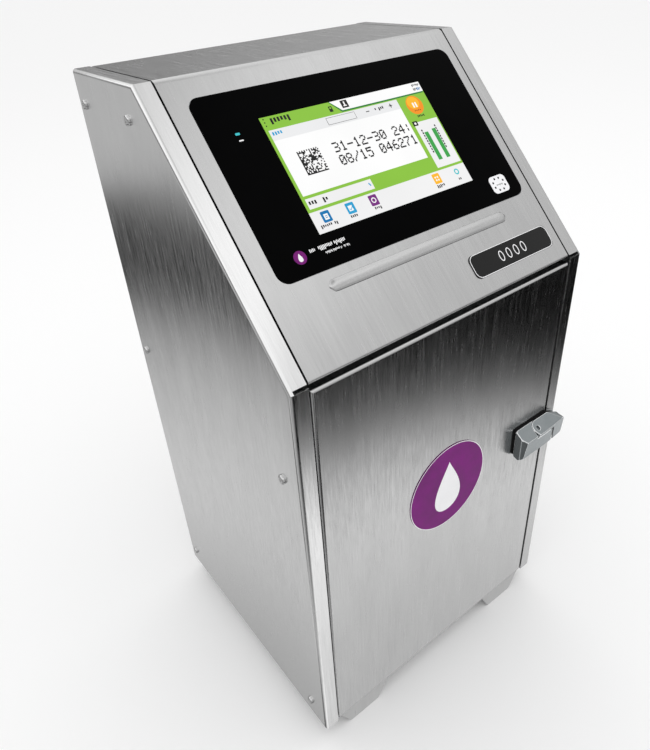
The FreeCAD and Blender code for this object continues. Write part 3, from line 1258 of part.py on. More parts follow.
def dock():
    """Two open sockets on a stand; a hollow needle rises in each."""
    shapes = []
    half_w, half_d = CARTRIDGE_W / 2 + DOCK_GAP, CARTRIDGE_D / 2 + DOCK_GAP
    wall = DOCK_WALL
    for side in (-1, 1):
        x = side * CARTRIDGE_X
        y0, y1 = CARTRIDGE_Y - half_d, CARTRIDGE_Y + half_d
        x0, x1 = x - half_w - wall, x + half_w + wall
        outer = block(x0, x1, y0 - wall, y1 + wall, DOCK_Z - wall, DOCK_Z + DOCK_H)
        inner = block(x - half_w, x + half_w, y0, y1, DOCK_Z, DOCK_Z + DOCK_H + 1)
        shapes.append(outer.cut(inner))
    gap = CARTRIDGE_X - half_w
    bridge = block(-gap, gap, CARTRIDGE_Y - 20, CARTRIDGE_Y + 20, DOCK_Z - wall, DOCK_Z + 10)
    legs = []
    for side in (-1, 1):
        for x in (side * (CARTRIDGE_X + 20), side * (CARTRIDGE_X - 30)):
            legs.append(block(x - 2, x + 2, CARTRIDGE_Y - 25, CARTRIDGE_Y + 25, FLOOR, DOCK_Z - wall))
    return join(shapes + [bridge] + legs)


def needles():
    pair = []
    for side in (-1, 1):
        foot_point = vec(side * CARTRIDGE_X, CARTRIDGE_Y, DOCK_Z)
        pair.append(tube(NEEDLE_R, NEEDLE_BORE_R, foot_point, foot_point.add(vec(0, 0, NEEDLE_LENGTH))))
    return pair


def cartridge(side):
    """Bottle with a waist, shoulders and a grip at the top. The seat below is open for the needle."""
    x = side * CARTRIDGE_X
    half_w, half_d = CARTRIDGE_W / 2, CARTRIDGE_D / 2
    z0 = DOCK_Z + 0.1
    z1 = z0 + CARTRIDGE_H
    body = block(x - half_w, x + half_w, CARTRIDGE_Y - half_d, CARTRIDGE_Y + half_d, z0, z1 - 14)
    body = body.makeFillet(5.0, body.Edges)
    shoulder = block(x - half_w + 9, x + half_w - 9, CARTRIDGE_Y - 12, CARTRIDGE_Y + 12, z1 - 20, z1)
    shoulder = shoulder.makeFillet(4.0, shoulder.Edges)
    grip = rod(7.0, vec(x, CARTRIDGE_Y - 20, z1 - 6), vec(x, CARTRIDGE_Y - 10, z1 - 6))
    well_top = z0 + NEEDLE_LENGTH + 4
    well = rod(NEEDLE_R + NEEDLE_PLAY, vec(x, CARTRIDGE_Y, z0 - 1), vec(x, CARTRIDGE_Y, well_top))
    return body.fuse(shoulder).removeSplitter().cut([well, grip])


def build():
    os.makedirs("parts", exist_ok=True)
    left_holes = side_panel_back_holes()
    panel = left_panel().cut(left_holes)
    screws = left_screws()
    rail = left_rail()
    seal = left_hood_seal()
    nodes = {
        "left_side_panel": panel,
        "right_side_panel": mirrored(panel),
        "side_screws": group(screws + [mirrored(s) for s in screws]),
        "left_foot": foot(-1),
        "right_foot": foot(1),
        "base_pan": base_pan(),
        "partition_shelf": shelf(),
        "hood_rails": group([rail, mirrored(rail)]),
        "hood_seals": group([seal, mirrored(seal)]),
        "front_frame": front_frame(),
        "door_seal": door_seal(),
        "hinge_arms": hinge_arms(),
        "door_pivot_pins": pivot_pins(),
        "door_skin": door_skin(),
        "door_stiffener": door_stiffener(),
        "door_lugs": door_lugs(),
        "door_bushes": door_bushes(),
        "door_emblem": door_emblem(),
        "latch_gasket": latch_gasket(),
        "latch_base": latch_base(),
        "latch_nuts": latch_nuts(),
        "latch_pin": latch_pin(),
        "latch_lever": latch_lever(),
        "hood_shell": hood_shell(),
        "hood_hinge_leaf": hinge_leaf(True),
        "back_hinge_leaf": hinge_leaf(False),
        "hood_hinge_pin": hood_hinge_pin(),
        "display_frame": display_frame(),
        "display_glass": display_glass(),
        "display_module": display_module(),
        "display_board": display_board(),
        "display_cover": display_cover(),
        "badge_plate": badge_plate(),
        "scan_tag": scan_tag(),
        "back_panel": back_panel(),
        "back_screws": back_screws(),
        "fan_frame": fan_frame(),
        "fan_rotor": fan_rotor(),
        "fan_guard": fan_guard(),
        "umbilical_gland": group([umbilical_gland(), gland_nut()]),
        "power_inlet": power_inlet(),
        "switch_frame": switch_frame(),
        "switch_rocker": switch_rocker(),
        "signal_ports": signal_ports(),
        "main_board": group([main_board()] + board_spacers()),
        "power_supply": power_supply(),
        "manifold_block": manifold(),
        "manifold_bracket": manifold_bracket(),
        "pump_cover": pump_cover(),
        "pump_motor": pump_motor(),
        "pump_drive_gear": drive_gear(),
        "pump_idler_gear": idler_gear(),
        "solenoid_valves": valves(),
        "ink_filter": ink_filter(),
        "ink_tank": tank(),
        "tank_bracket": tank_bracket(),
        "feed_hose": feed_hose(),
        "cartridge_dock": group([dock()] + needles()),
        "ink_cartridge": cartridge(-1),
        "solvent_cartridge": cartridge(1),
    }
    for name, shape in nodes.items():
        save(name, shape)


build()
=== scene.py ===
import json
import math
import random

import bmesh
import bpy
from mathutils import Matrix, Vector

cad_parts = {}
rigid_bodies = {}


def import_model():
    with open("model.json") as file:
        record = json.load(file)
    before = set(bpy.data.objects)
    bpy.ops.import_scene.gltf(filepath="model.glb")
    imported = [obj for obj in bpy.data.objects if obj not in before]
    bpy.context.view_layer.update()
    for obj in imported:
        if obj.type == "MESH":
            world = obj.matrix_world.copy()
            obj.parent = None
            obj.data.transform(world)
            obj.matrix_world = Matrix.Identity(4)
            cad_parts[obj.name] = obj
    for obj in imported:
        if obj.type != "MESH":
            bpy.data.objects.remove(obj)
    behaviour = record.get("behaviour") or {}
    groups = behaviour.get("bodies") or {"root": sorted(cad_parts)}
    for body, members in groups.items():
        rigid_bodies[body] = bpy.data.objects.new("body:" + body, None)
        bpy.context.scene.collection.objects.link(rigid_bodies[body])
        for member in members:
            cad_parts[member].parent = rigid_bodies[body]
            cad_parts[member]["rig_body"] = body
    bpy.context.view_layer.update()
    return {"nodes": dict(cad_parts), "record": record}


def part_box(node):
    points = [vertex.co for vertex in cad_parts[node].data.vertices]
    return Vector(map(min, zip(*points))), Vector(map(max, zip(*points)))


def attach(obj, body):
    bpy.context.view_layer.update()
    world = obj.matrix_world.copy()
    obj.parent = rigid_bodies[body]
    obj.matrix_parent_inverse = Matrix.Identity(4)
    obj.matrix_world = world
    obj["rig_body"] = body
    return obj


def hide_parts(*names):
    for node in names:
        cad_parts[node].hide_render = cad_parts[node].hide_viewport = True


# Looks of a slim brushed-steel inkjet coder cabinet. Metres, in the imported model's frame:
# +Z up, -Y the door side, +X the operator's right. Millimetre values are written with MM.

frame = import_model()

MM = 0.001
LIP_Z = 411.8 * MM          # lower edge of the sloping front
BEND_Y = 20.5 * MM          # where the slope meets the level top
SIDE_X = 148.5 * MM         # outer face of the side panels
SEAM_TOLERANCE = 1e-6       # corners closer than this are one corner
FLAT_DEGREES = 0.4          # faces that meet at less than this are one face
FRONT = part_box("door_skin")[0].y
SLOT_OF = {part["node"]: part["material_slot"] for part in frame["record"]["subparts"]}


# Planes on the object

class Plane:
    """A flat face: a point is at(a, b) along its two directions and h above it."""

    def __init__(self, origin, along, across):
        self.origin, self.along, self.across = Vector(origin), Vector(along), Vector(across)
        self.normal = self.along.cross(self.across)

    def at(self, a, b, h=0.0):
        return self.origin + self.along * a + self.across * b + self.normal * h


TOP_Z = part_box("left_side_panel")[1].z
SLOPE_UP = Vector((0, BEND_Y - FRONT, TOP_Z - LIP_Z))
slope = Plane((0, BEND_Y, TOP_Z), (1, 0, 0), SLOPE_UP.normalized())
door = Plane((0, FRONT, 0), (1, 0, 0), (0, 0, 1))


# Materials

def node(tree, kind, inputs=None, **settings):
    made = tree.nodes.new("ShaderNode" + kind)
    for key, value in settings.items():
        setattr(made, key, value)
    for key, value in (inputs or {}).items():
        if isinstance(value, bpy.types.NodeSocket):
            tree.links.new(value, made.inputs[key])
        else:
            made.inputs[key].default_value = value
    return made


def material(name, colour, metallic=0.0, roughness=0.5, **sockets):
    """A Principled material; more of its sockets go by name with _ for a space."""
    made = bpy.data.materials.new(name)
    made.use_nodes = True
    shader = made.node_tree.nodes["Principled BSDF"]
    shader.inputs["Base Color"].default_value = (*colour, 1.0)
    shader.inputs["Metallic"].default_value = metallic
    shader.inputs["Roughness"].default_value = roughness
    for key, value in sockets.items():
        shader.inputs[key.replace("_", " ")].default_value = value
    return made, made.node_tree, shader


def grey(value):
    return (value, value, value)


def noise(tree, vector, size, detail=3.0, rough=0.6):
    """Noise between 0 and 1 whose features are about size metres along each axis of the vector."""
    scaled = node(tree, "Mapping", {"Vector": vector, "Scale": [1.0 / s for s in size]})
    inputs = {"Vector": scaled.outputs[0], "Scale": 1.0, "Detail": detail, "Roughness": rough}
    return node(tree, "TexNoise", inputs).outputs["Fac"]


def remap(tree, value, low, high, new_low, new_high):
    made = node(tree, "MapRange", {0: value, 1: low, 2: high, 3: new_low, 4: new_high})
    return made.outputs[0]


def added(tree, first, second, operation="ADD"):
    return node(tree, "Math", {0: first, 1: second}, operation=operation).outputs[0]


def tinted(tree, factor, dark, light):
    """A colour between two, by factor."""
    made = node(tree, "Mix", {"Factor": factor}, data_type="RGBA")
    made.inputs[6].default_value = (*dark, 1.0)
    made.inputs[7].default_value = (*light, 1.0)
    return made.outputs[2]


def bumped(tree, shader, height, distance):
    made = node(tree, "Bump", {"Height": height, "Distance": distance, "Strength": 1.0})
    tree.links.new(made.outputs[0], shader.inputs["Normal"])


GRAIN = "grain"             # UV layer: u across the brushing, v along it, in metres


SCRATCH_DEPTH = 0.0018 * MM


def brushed(name, base, roughness, streak, lean):
    """Brushed sheet: streaks along the grain in tone, gloss and tilt, soft blotches, a stretched highlight.
    Tilt changes from streak to streak, which frays the edges of what the sheet mirrors.
    Each noise has its width across the grain and its length along it."""
    made, tree, shader = material(name, grey(base), 1.0, roughness, Anisotropic=0.65)
    uv = node(tree, "UVMap", uv_map=GRAIN).outputs[0]
    fine = noise(tree, uv, (0.45 * MM, 45 * MM, 1), 2.0)
    broad = noise(tree, uv, (2.6 * MM, 60 * MM, 1), 3.0)
    wide = noise(tree, uv, (24 * MM, 110 * MM, 1), 2.0)
    scratches = noise(tree, uv, (1.1 * MM, 16 * MM, 1), 4.0)
    mix = added(tree, added(tree, fine, broad), wide)
    tone = remap(tree, mix, 1.1, 1.9, 0.0, 1.0)
    colour = tinted(tree, tone, grey(base * (1 - streak)), grey(min(1.0, base * (1 + streak))))
    tree.links.new(colour, shader.inputs["Base Color"])
    rough = remap(tree, added(tree, scratches, broad), 0.7, 1.3, roughness - 0.05, roughness + 0.07)
    tree.links.new(rough, shader.inputs["Roughness"])
    tangent = node(tree, "Tangent", direction_type="UV_MAP", uv_map=GRAIN).outputs[0]
    tree.links.new(tangent, shader.inputs["Tangent"])
    face = node(tree, "NewGeometry").outputs["Normal"]
    along = node(tree, "VectorMath", {0: face, 1: tangent}, operation="CROSS_PRODUCT").outputs[0]
    sway = added(tree, added(tree, broad, scratches), added(tree, fine, wide))
    amount = remap(tree, sway, 1.5, 2.5, -lean, lean)
    bent = node(tree, "VectorMath", {0: along, "Scale": amount}, operation="SCALE").outputs[0]
    leaning = node(tree, "VectorMath", {0: face, 1: bent}, operation="ADD").outputs[0]
    leaning = node(tree, "VectorMath", {0: leaning}, operation="NORMALIZE").outputs[0]
    height = added(tree, added(tree, broad, scratches), added(tree, fine, 0.5, "MULTIPLY"))
    bump = node(tree, "Bump", {"Height": height, "Distance": SCRATCH_DEPTH, "Normal": leaning})
    tree.links.new(bump.outputs[0], shader.inputs["Normal"])
    return made


def textured(name, colour, spread, metallic=0.0, roughness=0.5, grain=1.0, depth=0.02, **sockets):
    """Even finish with a slight mottle in colour and roughness and a fine bump; grain and depth in mm."""
    made, tree, shader = material(name, colour, metallic, roughness, **sockets)
    place = node(tree, "TexCoord").outputs["Object"]
    fine = noise(tree, place, [grain * MM] * 3, 3.0)
    cloud = noise(tree, place, [18 * MM] * 3, 2.0)
    both = remap(tree, added(tree, fine, cloud), 0.7, 1.3, 0.0, 1.0)
    dark = [c * (1 - spread) for c in colour]
    light = [min(1.0, c * (1 + spread)) for c in colour]
    tree.links.new(tinted(tree, both, dark, light), shader.inputs["Base Color"])
    glossy, matt = max(0.02, roughness * (1 - spread)), min(1.0, roughness * (1 + spread))
    tree.links.new(remap(tree, both, 0.0, 1.0, glossy, matt), shader.inputs["Roughness"])
    bumped(tree, shader, fine, depth * MM)
    return made


LATCH_Z0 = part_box("latch_base")[0].z
LATCH_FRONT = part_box("latch_lever")[0].y
SEAM_IN = 3.3 * MM              # the seam's front end from the door's free edge
SEAM_BACK = 0.5 * MM            # how far drawn_in takes that end back
SEAM_POINT = Vector((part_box("door_skin")[1].x - SEAM_IN, LATCH_FRONT + SEAM_BACK, 0))
SEAM_NORMAL = Vector((0.5, -math.sqrt(0.75), 0))
SLAB_Z = LATCH_Z0 + 20 * MM     # underside of the lever's slab


def cast_with_painted_glint_and_shade(name, dark, light, roughness):
    """Satin casting with corners painted bright, a painted highlight for the glint on the rounded ridges with
    some rubbed wear, and painted shade in the slanted seam of base and lever: a near-black band in the gap.
    """
    made, tree, shader = material(name, dark, 1.0, roughness)
    place = node(tree, "TexCoord").outputs["Object"]
    fine = noise(tree, place, [0.5 * MM] * 3, 3.0)
    cloud = noise(tree, place, [9 * MM] * 3, 2.0)
    reach = node(tree, "VectorMath", {0: place, 1: SEAM_POINT}, operation="SUBTRACT").outputs[0]
    off = node(tree, "VectorMath", {0: reach, 1: SEAM_NORMAL}, operation="DOT_PRODUCT").outputs["Value"]
    off = node(tree, "Math", {0: off}, operation="ABSOLUTE").outputs[0]
    height = node(tree, "SeparateXYZ", {0: place}).outputs[2]
    above = remap(tree, height, SLAB_Z - 0.2 * MM, SLAB_Z + 0.2 * MM, 0.0, 1.0)
    wear_and_glint_zone = added(tree, remap(tree, off, 1.2 * MM, 2.2 * MM, 0.0, 1.0), above, "MAXIMUM")
    outside_seam_shade = added(tree, remap(tree, off, 0.45 * MM, 0.75 * MM, 0.0, 1.0), above, "MAXIMUM")
    # painted highlight: sharp corners away from the seam turn near-white and less metallic, with some rubbed
    # wear
    corner = remap(tree, node(tree, "NewGeometry").outputs["Pointiness"], 0.506, 0.530, 0.0, 1.0)
    corner = added(tree, corner, wear_and_glint_zone, "MULTIPLY")
    tree.links.new(remap(tree, corner, 0.0, 1.0, 1.0, 0.25), shader.inputs["Metallic"])
    # worn carries the painted highlight of the corners, with a little mottle
    worn = added(tree, corner, added(tree, added(tree, fine, cloud), 0.10, "MULTIPLY"))
    colour = tinted(tree, worn, dark, light)
    # painted shade: near-black in the seam gap between base and lever
    seam = node(tree, "Mix", {"Factor": outside_seam_shade}, data_type="RGBA")
    seam.inputs[6].default_value = (*grey(0.006), 1.0)
    tree.links.new(colour, seam.inputs[7])
    tree.links.new(seam.outputs[2], shader.inputs["Base Color"])
    rough = remap(tree, worn, 0.0, 1.0, roughness * 1.2, roughness * 0.7)
    tree.links.new(rough, shader.inputs["Roughness"])
    bumped(tree, shader, fine, 0.003 * MM)
    return made


def glowing(name, colour):
    """A lit area of the screen, with the faint dot structure of a display."""
    made, tree, shader = material(name, grey(0.0), 0.0, 0.12, Specular_IOR_Level=0.2)
    place = node(tree, "TexCoord").outputs["Object"]
    dots = noise(tree, place, [0.25 * MM] * 3, 0.0)
    cloud = noise(tree, place, [40 * MM] * 3, 1.0)
    both = remap(tree, added(tree, dots, cloud), 0.7, 1.3, 0.0, 1.0)
    dark = [c * 0.94 for c in colour]
    tree.links.new(tinted(tree, both, dark, colour), shader.inputs["Emission Color"])
    shader.inputs["Emission Strength"].default_value = 1.0
    return made


M = {
    "brushed_stainless": brushed("brushed_steel", 0.60, 0.22, 0.055, 0.009),
    # painted light: a brighter lit copy of the brushed steel, for the left side panel only
    "side_panel_steel": brushed("side_panel_steel", 0.86, 0.21, 0.055, 0.013),
    "plain_stainless": brushed("mill_steel", 0.58, 0.32, 0.05, 0.02),
    "zinc_sheet": textured("zinc_sheet", (0.56, 0.58, 0.60), 0.14, 1.0, 0.42, 6.0, 0.01),
    "bright_fasteners": textured("bright_fasteners", (0.70, 0.70, 0.70), 0.06, 1.0, 0.20, 0.6, 0.004),
    # cast_latch: the light colour is the painted highlight on the corners, the seam gets painted shade
    "cast_latch": cast_with_painted_glint_and_shade("cast_latch", (0.26, 0.29, 0.30), (0.96, 0.97, 0.98), 0.20),
    "black_rubber": textured("black_rubber", (0.004, 0.004, 0.004), 0.3, 0.0, 0.70, 0.5, 0.02,
                             Specular_IOR_Level=0.15),
    "bush_polymer": textured("bush_polymer", (0.72, 0.70, 0.64), 0.05, 0.0, 0.45, 0.6, 0.01),
    "emblem_purple": textured("emblem_purple", (0.175, 0.011, 0.165), 0.22, 0.0, 0.42, 0.45, 0.003,
                              Specular_IOR_Level=0.12),
    "emblem_white": textured("emblem_white", (0.86, 0.86, 0.87), 0.03, 0.0, 0.40, 0.5, 0.004),
    "display_glass": textured("display_glass", (0.0006, 0.0006, 0.0007), 0.2, 0.0, 0.08, 30.0, 0.0,
                              Specular_IOR_Level=0.02),
    "lcd_module": textured("lcd_module", (0.42, 0.43, 0.44), 0.10, 1.0, 0.42, 4.0, 0.01),
    "circuit_board": textured("circuit_board", (0.012, 0.12, 0.045), 0.25, 0.0, 0.34, 1.2, 0.03),
    "chip_black": textured("chip_black", (0.016, 0.016, 0.017), 0.2, 0.0, 0.45, 0.6, 0.01),
    "badge_black": textured("badge_black", (0.003, 0.003, 0.003), 0.2, 0.0, 0.22, 0.8, 0.003,
                            Specular_IOR_Level=0.3),
    "tag_white": textured("tag_white", (0.86, 0.86, 0.88), 0.04, 0.0, 0.28, 0.6, 0.004),
    "black_plastic": textured("black_plastic", (0.018, 0.018, 0.019), 0.25, 0.0, 0.48, 0.7, 0.03),
    "gland_grey": textured("gland_grey", (0.16, 0.17, 0.18), 0.12, 0.0, 0.45, 0.7, 0.03),
    "nickel_brass": textured("nickel_brass", (0.62, 0.58, 0.48), 0.08, 1.0, 0.26, 0.8, 0.008),
    "grey_metal": textured("grey_metal", (0.55, 0.56, 0.57), 0.10, 1.0, 0.38, 1.0, 0.02),
    "clear_cover": textured("clear_cover", (0.80, 0.85, 0.88), 0.03, 0.0, 0.08, 8.0, 0.002,
                            Transmission_Weight=0.9, IOR=1.45),
    "gear_steel": textured("gear_steel", (0.50, 0.50, 0.50), 0.12, 1.0, 0.34, 0.5, 0.01),
    "valve_blue": textured("valve_blue", (0.02, 0.07, 0.25), 0.12, 0.0, 0.34, 0.8, 0.01),
    "filter_white": textured("filter_white", (0.78, 0.78, 0.74), 0.05, 0.0, 0.38, 0.8, 0.01),
    "tank_natural": textured("tank_natural", (0.66, 0.65, 0.56), 0.06, 0.0, 0.42, 1.4, 0.03,
                             Subsurface_Weight=0.3),
    "hose_clear": textured("hose_clear", (0.05, 0.05, 0.055), 0.15, 0.0, 0.24, 1.0, 0.005),
    "dock_grey": textured("dock_grey", (0.13, 0.14, 0.15), 0.12, 0.0, 0.46, 0.8, 0.03),
    "ink_bottle_black": textured("ink_bottle_black", (0.02, 0.02, 0.024), 0.2, 0.0, 0.36, 1.2, 0.03),
    "solvent_bottle_white": textured("solvent_bottle_white", (0.78, 0.78, 0.75), 0.04, 0.0, 0.38, 1.2,
                                     0.03),
}


# Pieces

EDGE_DEGREES = 32.0         # faces that meet at more than this have a real edge between them


def linked(name, mesh, body, materials):
    """A new object from a mesh that rides on a body and takes a slot's finish."""
    made = bpy.data.objects.new(name, mesh)
    bpy.context.scene.collection.objects.link(made)
    for one in materials:
        mesh.materials.append(one)
    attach(made, body)
    return made


def softened(piece, width):
    """Small round on every real edge, with shading that stays flat on the faces."""
    bevel = piece.modifiers.new("edge_round", "BEVEL")
    bevel.width = width
    bevel.segments = 2
    bevel.limit_method = "ANGLE"
    bevel.angle_limit = math.radians(EDGE_DEGREES)
    bevel.miter_outer = "MITER_ARC"
    weighted = piece.modifiers.new("flat_shading", "WEIGHTED_NORMAL")
    weighted.keep_sharp = True


def grain_layer(bm):
    """UV layer for brushed sheet: u across the grain and v along it, from each face's own direction."""
    layer = bm.loops.layers.uv.new(GRAIN)
    for face in bm.faces:
        n = face.normal
        sideways = abs(n.x) > 0.7
        profile = Vector((0, n.z, -n.y)).normalized() if not sideways else Vector((0, 0, 1))
        for corner in face.loops:
            p = corner.vert.co
            corner[layer].uv = (p.y if sideways else p.x, p.dot(profile))


def cleaned(source):
    """Mesh of a CAD node with its seams merged and its flat faces whole, in a new mesh."""
    bm = bmesh.new()
    bm.from_mesh(source.data)
    bmesh.ops.remove_doubles(bm, verts=bm.verts, dist=SEAM_TOLERANCE)
    flat = math.radians(FLAT_DEGREES)
    bmesh.ops.dissolve_limit(bm, angle_limit=flat, verts=bm.verts, edges=bm.edges)
    bmesh.ops.recalc_face_normals(bm, faces=bm.faces)
    return bm


def plain_mesh(bm, name):
    mesh = bpy.data.meshes.new(name)
    bm.to_mesh(mesh)
    bm.free()
    return mesh


def into_mesh(bm, name):
    """A smooth-shaded mesh without the CAD import's own normals."""
    for face in bm.faces:
        face.smooth = True
    mesh = plain_mesh(bm, name)
    for attribute in [a for a in mesh.attributes if a.name == "custom_normal"]:
        mesh.attributes.remove(attribute)
    return mesh


def skinned(rings):
    """A closed skin through rings of corners, capped at both ends."""
    bm = bmesh.new()
    rows = [[bm.verts.new(corner) for corner in ring] for ring in rings]
    for first, second in zip(rows, rows[1:]):
        for m in range(len(first)):
            n = (m + 1) % len(first)
            bm.faces.new((first[m], first[n], second[n], second[m]))
    bm.faces.new(rows[0])
    bm.faces.new(rows[-1])
    bmesh.ops.recalc_face_normals(bm, faces=bm.faces)
    return bm


BEAD_X0, BEAD_X1, BEAD_S = -86.5 * MM, 91.0 * MM, 169.9 * MM
BEAD_HALF, BEAD_HEIGHT = 4.6 * MM, 1.5 * MM
BEAD_CROWN = 1.4            # how softly the arch runs out at its foot
BEAD_ROOT = 0.8 * MM        # how far the bead reaches into the sheet
PRESSED = 0.02 * MM         # what stays of the plain bead under it


def flatten_bead(bm):
    """Press the hood's plain bead down to the sheet; hood_bead takes its place."""
    for vert in bm.verts:
        a = (vert.co - slope.origin).dot(slope.along)
        b = (vert.co - slope.origin).dot(slope.across)
        h = (vert.co - slope.origin).dot(slope.normal)
        near = BEAD_X0 - MM < a < BEAD_X1 + MM and abs(b + BEAD_S) < BEAD_HALF + MM
        if near and h > PRESSED:
            vert.co -= slope.normal * (h - PRESSED)


def hood_bead(rows=60, arch=16):
    """A soft pressed bead along the hood: an arched ridge that runs out at both ends."""
    rings = []
    for k in range(rows + 1):
        a = BEAD_X0 + (BEAD_X1 - BEAD_X0) * k / rows
        from_end = min(1.0, min(a - BEAD_X0, BEAD_X1 - a) / BEAD_HALF)
        share = math.sqrt(max(0.02, 1 - (1 - from_end) ** 2))
        ring = []
        for m in range(arch + 1):
            turn = math.pi * m / arch
            b = -BEAD_S + BEAD_HALF * share * math.cos(turn)
            h = BEAD_HEIGHT * share * math.sin(turn) ** BEAD_CROWN
            ring.append(slope.at(a, b, h))
        rings.append(ring + [slope.at(a, -BEAD_S, -BEAD_ROOT)])
    bm = skinned(rings)
    grain_layer(bm)
    slot = "brushed_stainless"
    linked("hood_bead", into_mesh(bm, "hood_bead"), frame["nodes"]["hood_shell"]["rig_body"], [M[slot]])


def refined(name, width):
    """A brushed or plain sheet part: the CAD node's own shape with grain directions and rounded edges."""
    source = frame["nodes"][name]
    bm = cleaned(source)
    if name == "hood_shell":
        flatten_bead(bm)
    grain_layer(bm)
    slot = SLOT_OF[name]
    # the left side panel takes the brighter lit copy of the steel: painted light
    finish = M["side_panel_steel"] if name == "left_side_panel" else M[slot]
    mesh = into_mesh(bm, name + "_sheet")
    piece = linked(mesh.name, mesh, source["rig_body"], [finish])
    softened(piece, width)
    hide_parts(name)


SHEET_EDGES = {
    "left_side_panel": 0.35, "right_side_panel": 0.35, "hood_shell": 0.35, "door_skin": 0.35,
    "left_foot": 0.4, "right_foot": 0.4, "base_pan": 0.3, "back_panel": 0.3, "door_stiffener": 0.3,
    "hinge_arms": 0.3, "door_lugs": 0.3, "hood_hinge_leaf": 0.2, "back_hinge_leaf": 0.2,
}
for name, width in SHEET_EDGES.items():
    refined(name, width * MM)
hood_bead()

PIN_X = (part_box("latch_pin")[0].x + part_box("latch_pin")[1].x) / 2
LATCH_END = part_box("latch_lever")[1].x
OVERHANG = 0.4              # share of the plain casting's overhang past the side panel that stays
CURVE_BACK = 3.2 * MM       # how far the face of the free end falls back
CAST_VOXEL = 0.35 * MM
CAST_SMOOTHING = 14         # passes; the worn corners come out about 1 mm round
PAD_FACES = (0.03 * MM, 0.32 * MM)      # the pad's two faces inside the 0.35 mm seam


def drawn_in(p):
    """Where a point of the latch goes: the free end stays close to the cabinet and curves back."""
    x = p.x if p.x < SIDE_X else SIDE_X + (p.x - SIDE_X) * OVERHANG
    share = min(1.0, max(0.0, (p.x - PIN_X) / (LATCH_END - PIN_X)))
    forward = min(1.0, max(0.0, (FRONT - p.y) / (FRONT - LATCH_FRONT)))
    return Vector((x, p.y + CURVE_BACK * share ** 2 * forward, p.z))


def cast(name):
    """A cast part: the CAD node's shape as an even fine mesh with every corner worn round."""
    source = frame["nodes"][name]
    slot = SLOT_OF[name]
    bm = cleaned(source)
    bmesh.ops.triangulate(bm, faces=bm.faces)
    for _ in range(3):
        long_edges = [edge for edge in bm.edges if edge.calc_length() > 3 * MM]
        bmesh.ops.subdivide_edges(bm, edges=long_edges, cuts=1)
    bmesh.ops.triangulate(bm, faces=bm.faces)
    for vert in bm.verts:
        vert.co = drawn_in(vert.co)
    mesh = into_mesh(bm, name + "_cast")
    piece = linked(mesh.name, mesh, source["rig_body"], [M[slot]])
    even = piece.modifiers.new("even_mesh", "REMESH")
    even.mode = "VOXEL"
    even.voxel_size = CAST_VOXEL
    even.use_smooth_shade = True
    worn = piece.modifiers.new("worn_round", "SMOOTH")
    worn.factor = 0.5
    worn.iterations = CAST_SMOOTHING
    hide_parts(name)


def seam_shade_pad():
    """Thin black pad on the slanted face where the lever meets the base: a dark sheet in the gap for painted
    shade, in the black rubber finish.
    """
    along = Vector((math.sqrt(0.75), 0.5, 0))
    start = Vector((SEAM_POINT.x, LATCH_FRONT, LATCH_Z0))
    outline = [(4.8, 3.4), (10.6, 1.0), (22.0, 1.0), (22.0, 19.4), (1.6, 19.4)]
    rings = []
    for step in PAD_FACES:
        face = start + SEAM_NORMAL * step
        rings.append([drawn_in(face + along * reach * MM + Vector((0, 0, z * MM))) for reach, z in outline])
    mesh = plain_mesh(skinned(rings), "seam_shade_pad")
    # black finish: the pad stands for painted shade in the seam gap
    slot = "black_rubber"
    linked("seam_shade_pad", mesh, frame["nodes"]["latch_base"]["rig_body"], [M[slot]])


cast("latch_base")
cast("latch_lever")
seam_shade_pad()

for name, source in frame["nodes"].items():
    if source.hide_render:
        continue
    source.data.materials.clear()
    source.data.materials.append(M[SLOT_OF[name]])
    weld = source.modifiers.new("weld", "WELD")
    weld.merge_threshold = SEAM_TOLERANCE
    whole = source.modifiers.new("whole_faces", "DECIMATE")
    whole.decimate_type = "DISSOLVE"
    whole.angle_limit = math.radians(FLAT_DEGREES)
    softened(source, 0.2 * MM)


# Flat artwork: printed marks and the lit screen

def rounded(x0, y0, x1, y1, radius=0.0, steps=5):
    """Corners of a rectangle, each rounded by an arc."""
    if radius <= 0:
        return [(x0, y0), (x1, y0), (x1, y1), (x0, y1)]
    centres = [(x1 - radius, y0 + radius, -90), (x1 - radius, y1 - radius, 0),
               (x0 + radius, y1 - radius, 90), (x0 + radius, y0 + radius, 180)]
    points = []
    for cx, cy, start in centres:
        for k in range(steps + 1):
            turn = math.radians(start + 90 * k / steps)
            points.append((cx + radius * math.cos(turn), cy + radius * math.sin(turn)))
    return points


def ellipse(cx, cy, rx, ry=None, count=40):
    ry = rx if ry is None else ry
    turns = [2 * math.pi * k / count for k in range(count)]
    return [(cx + rx * math.cos(t), cy + ry * math.sin(t)) for t in turns]


def drop(cx, cy, height, count=48):
    """Outline of a falling drop, point up, round end down."""
    radius = height * 0.31
    points = []
    for k in range(count):
        turn = 2 * math.pi * k / count
        width = radius * math.sin(turn) * math.sin(turn / 2) ** 1.4
        points.append((cx + width * 1.25, cy + height / 2 * math.cos(turn)))
    return points


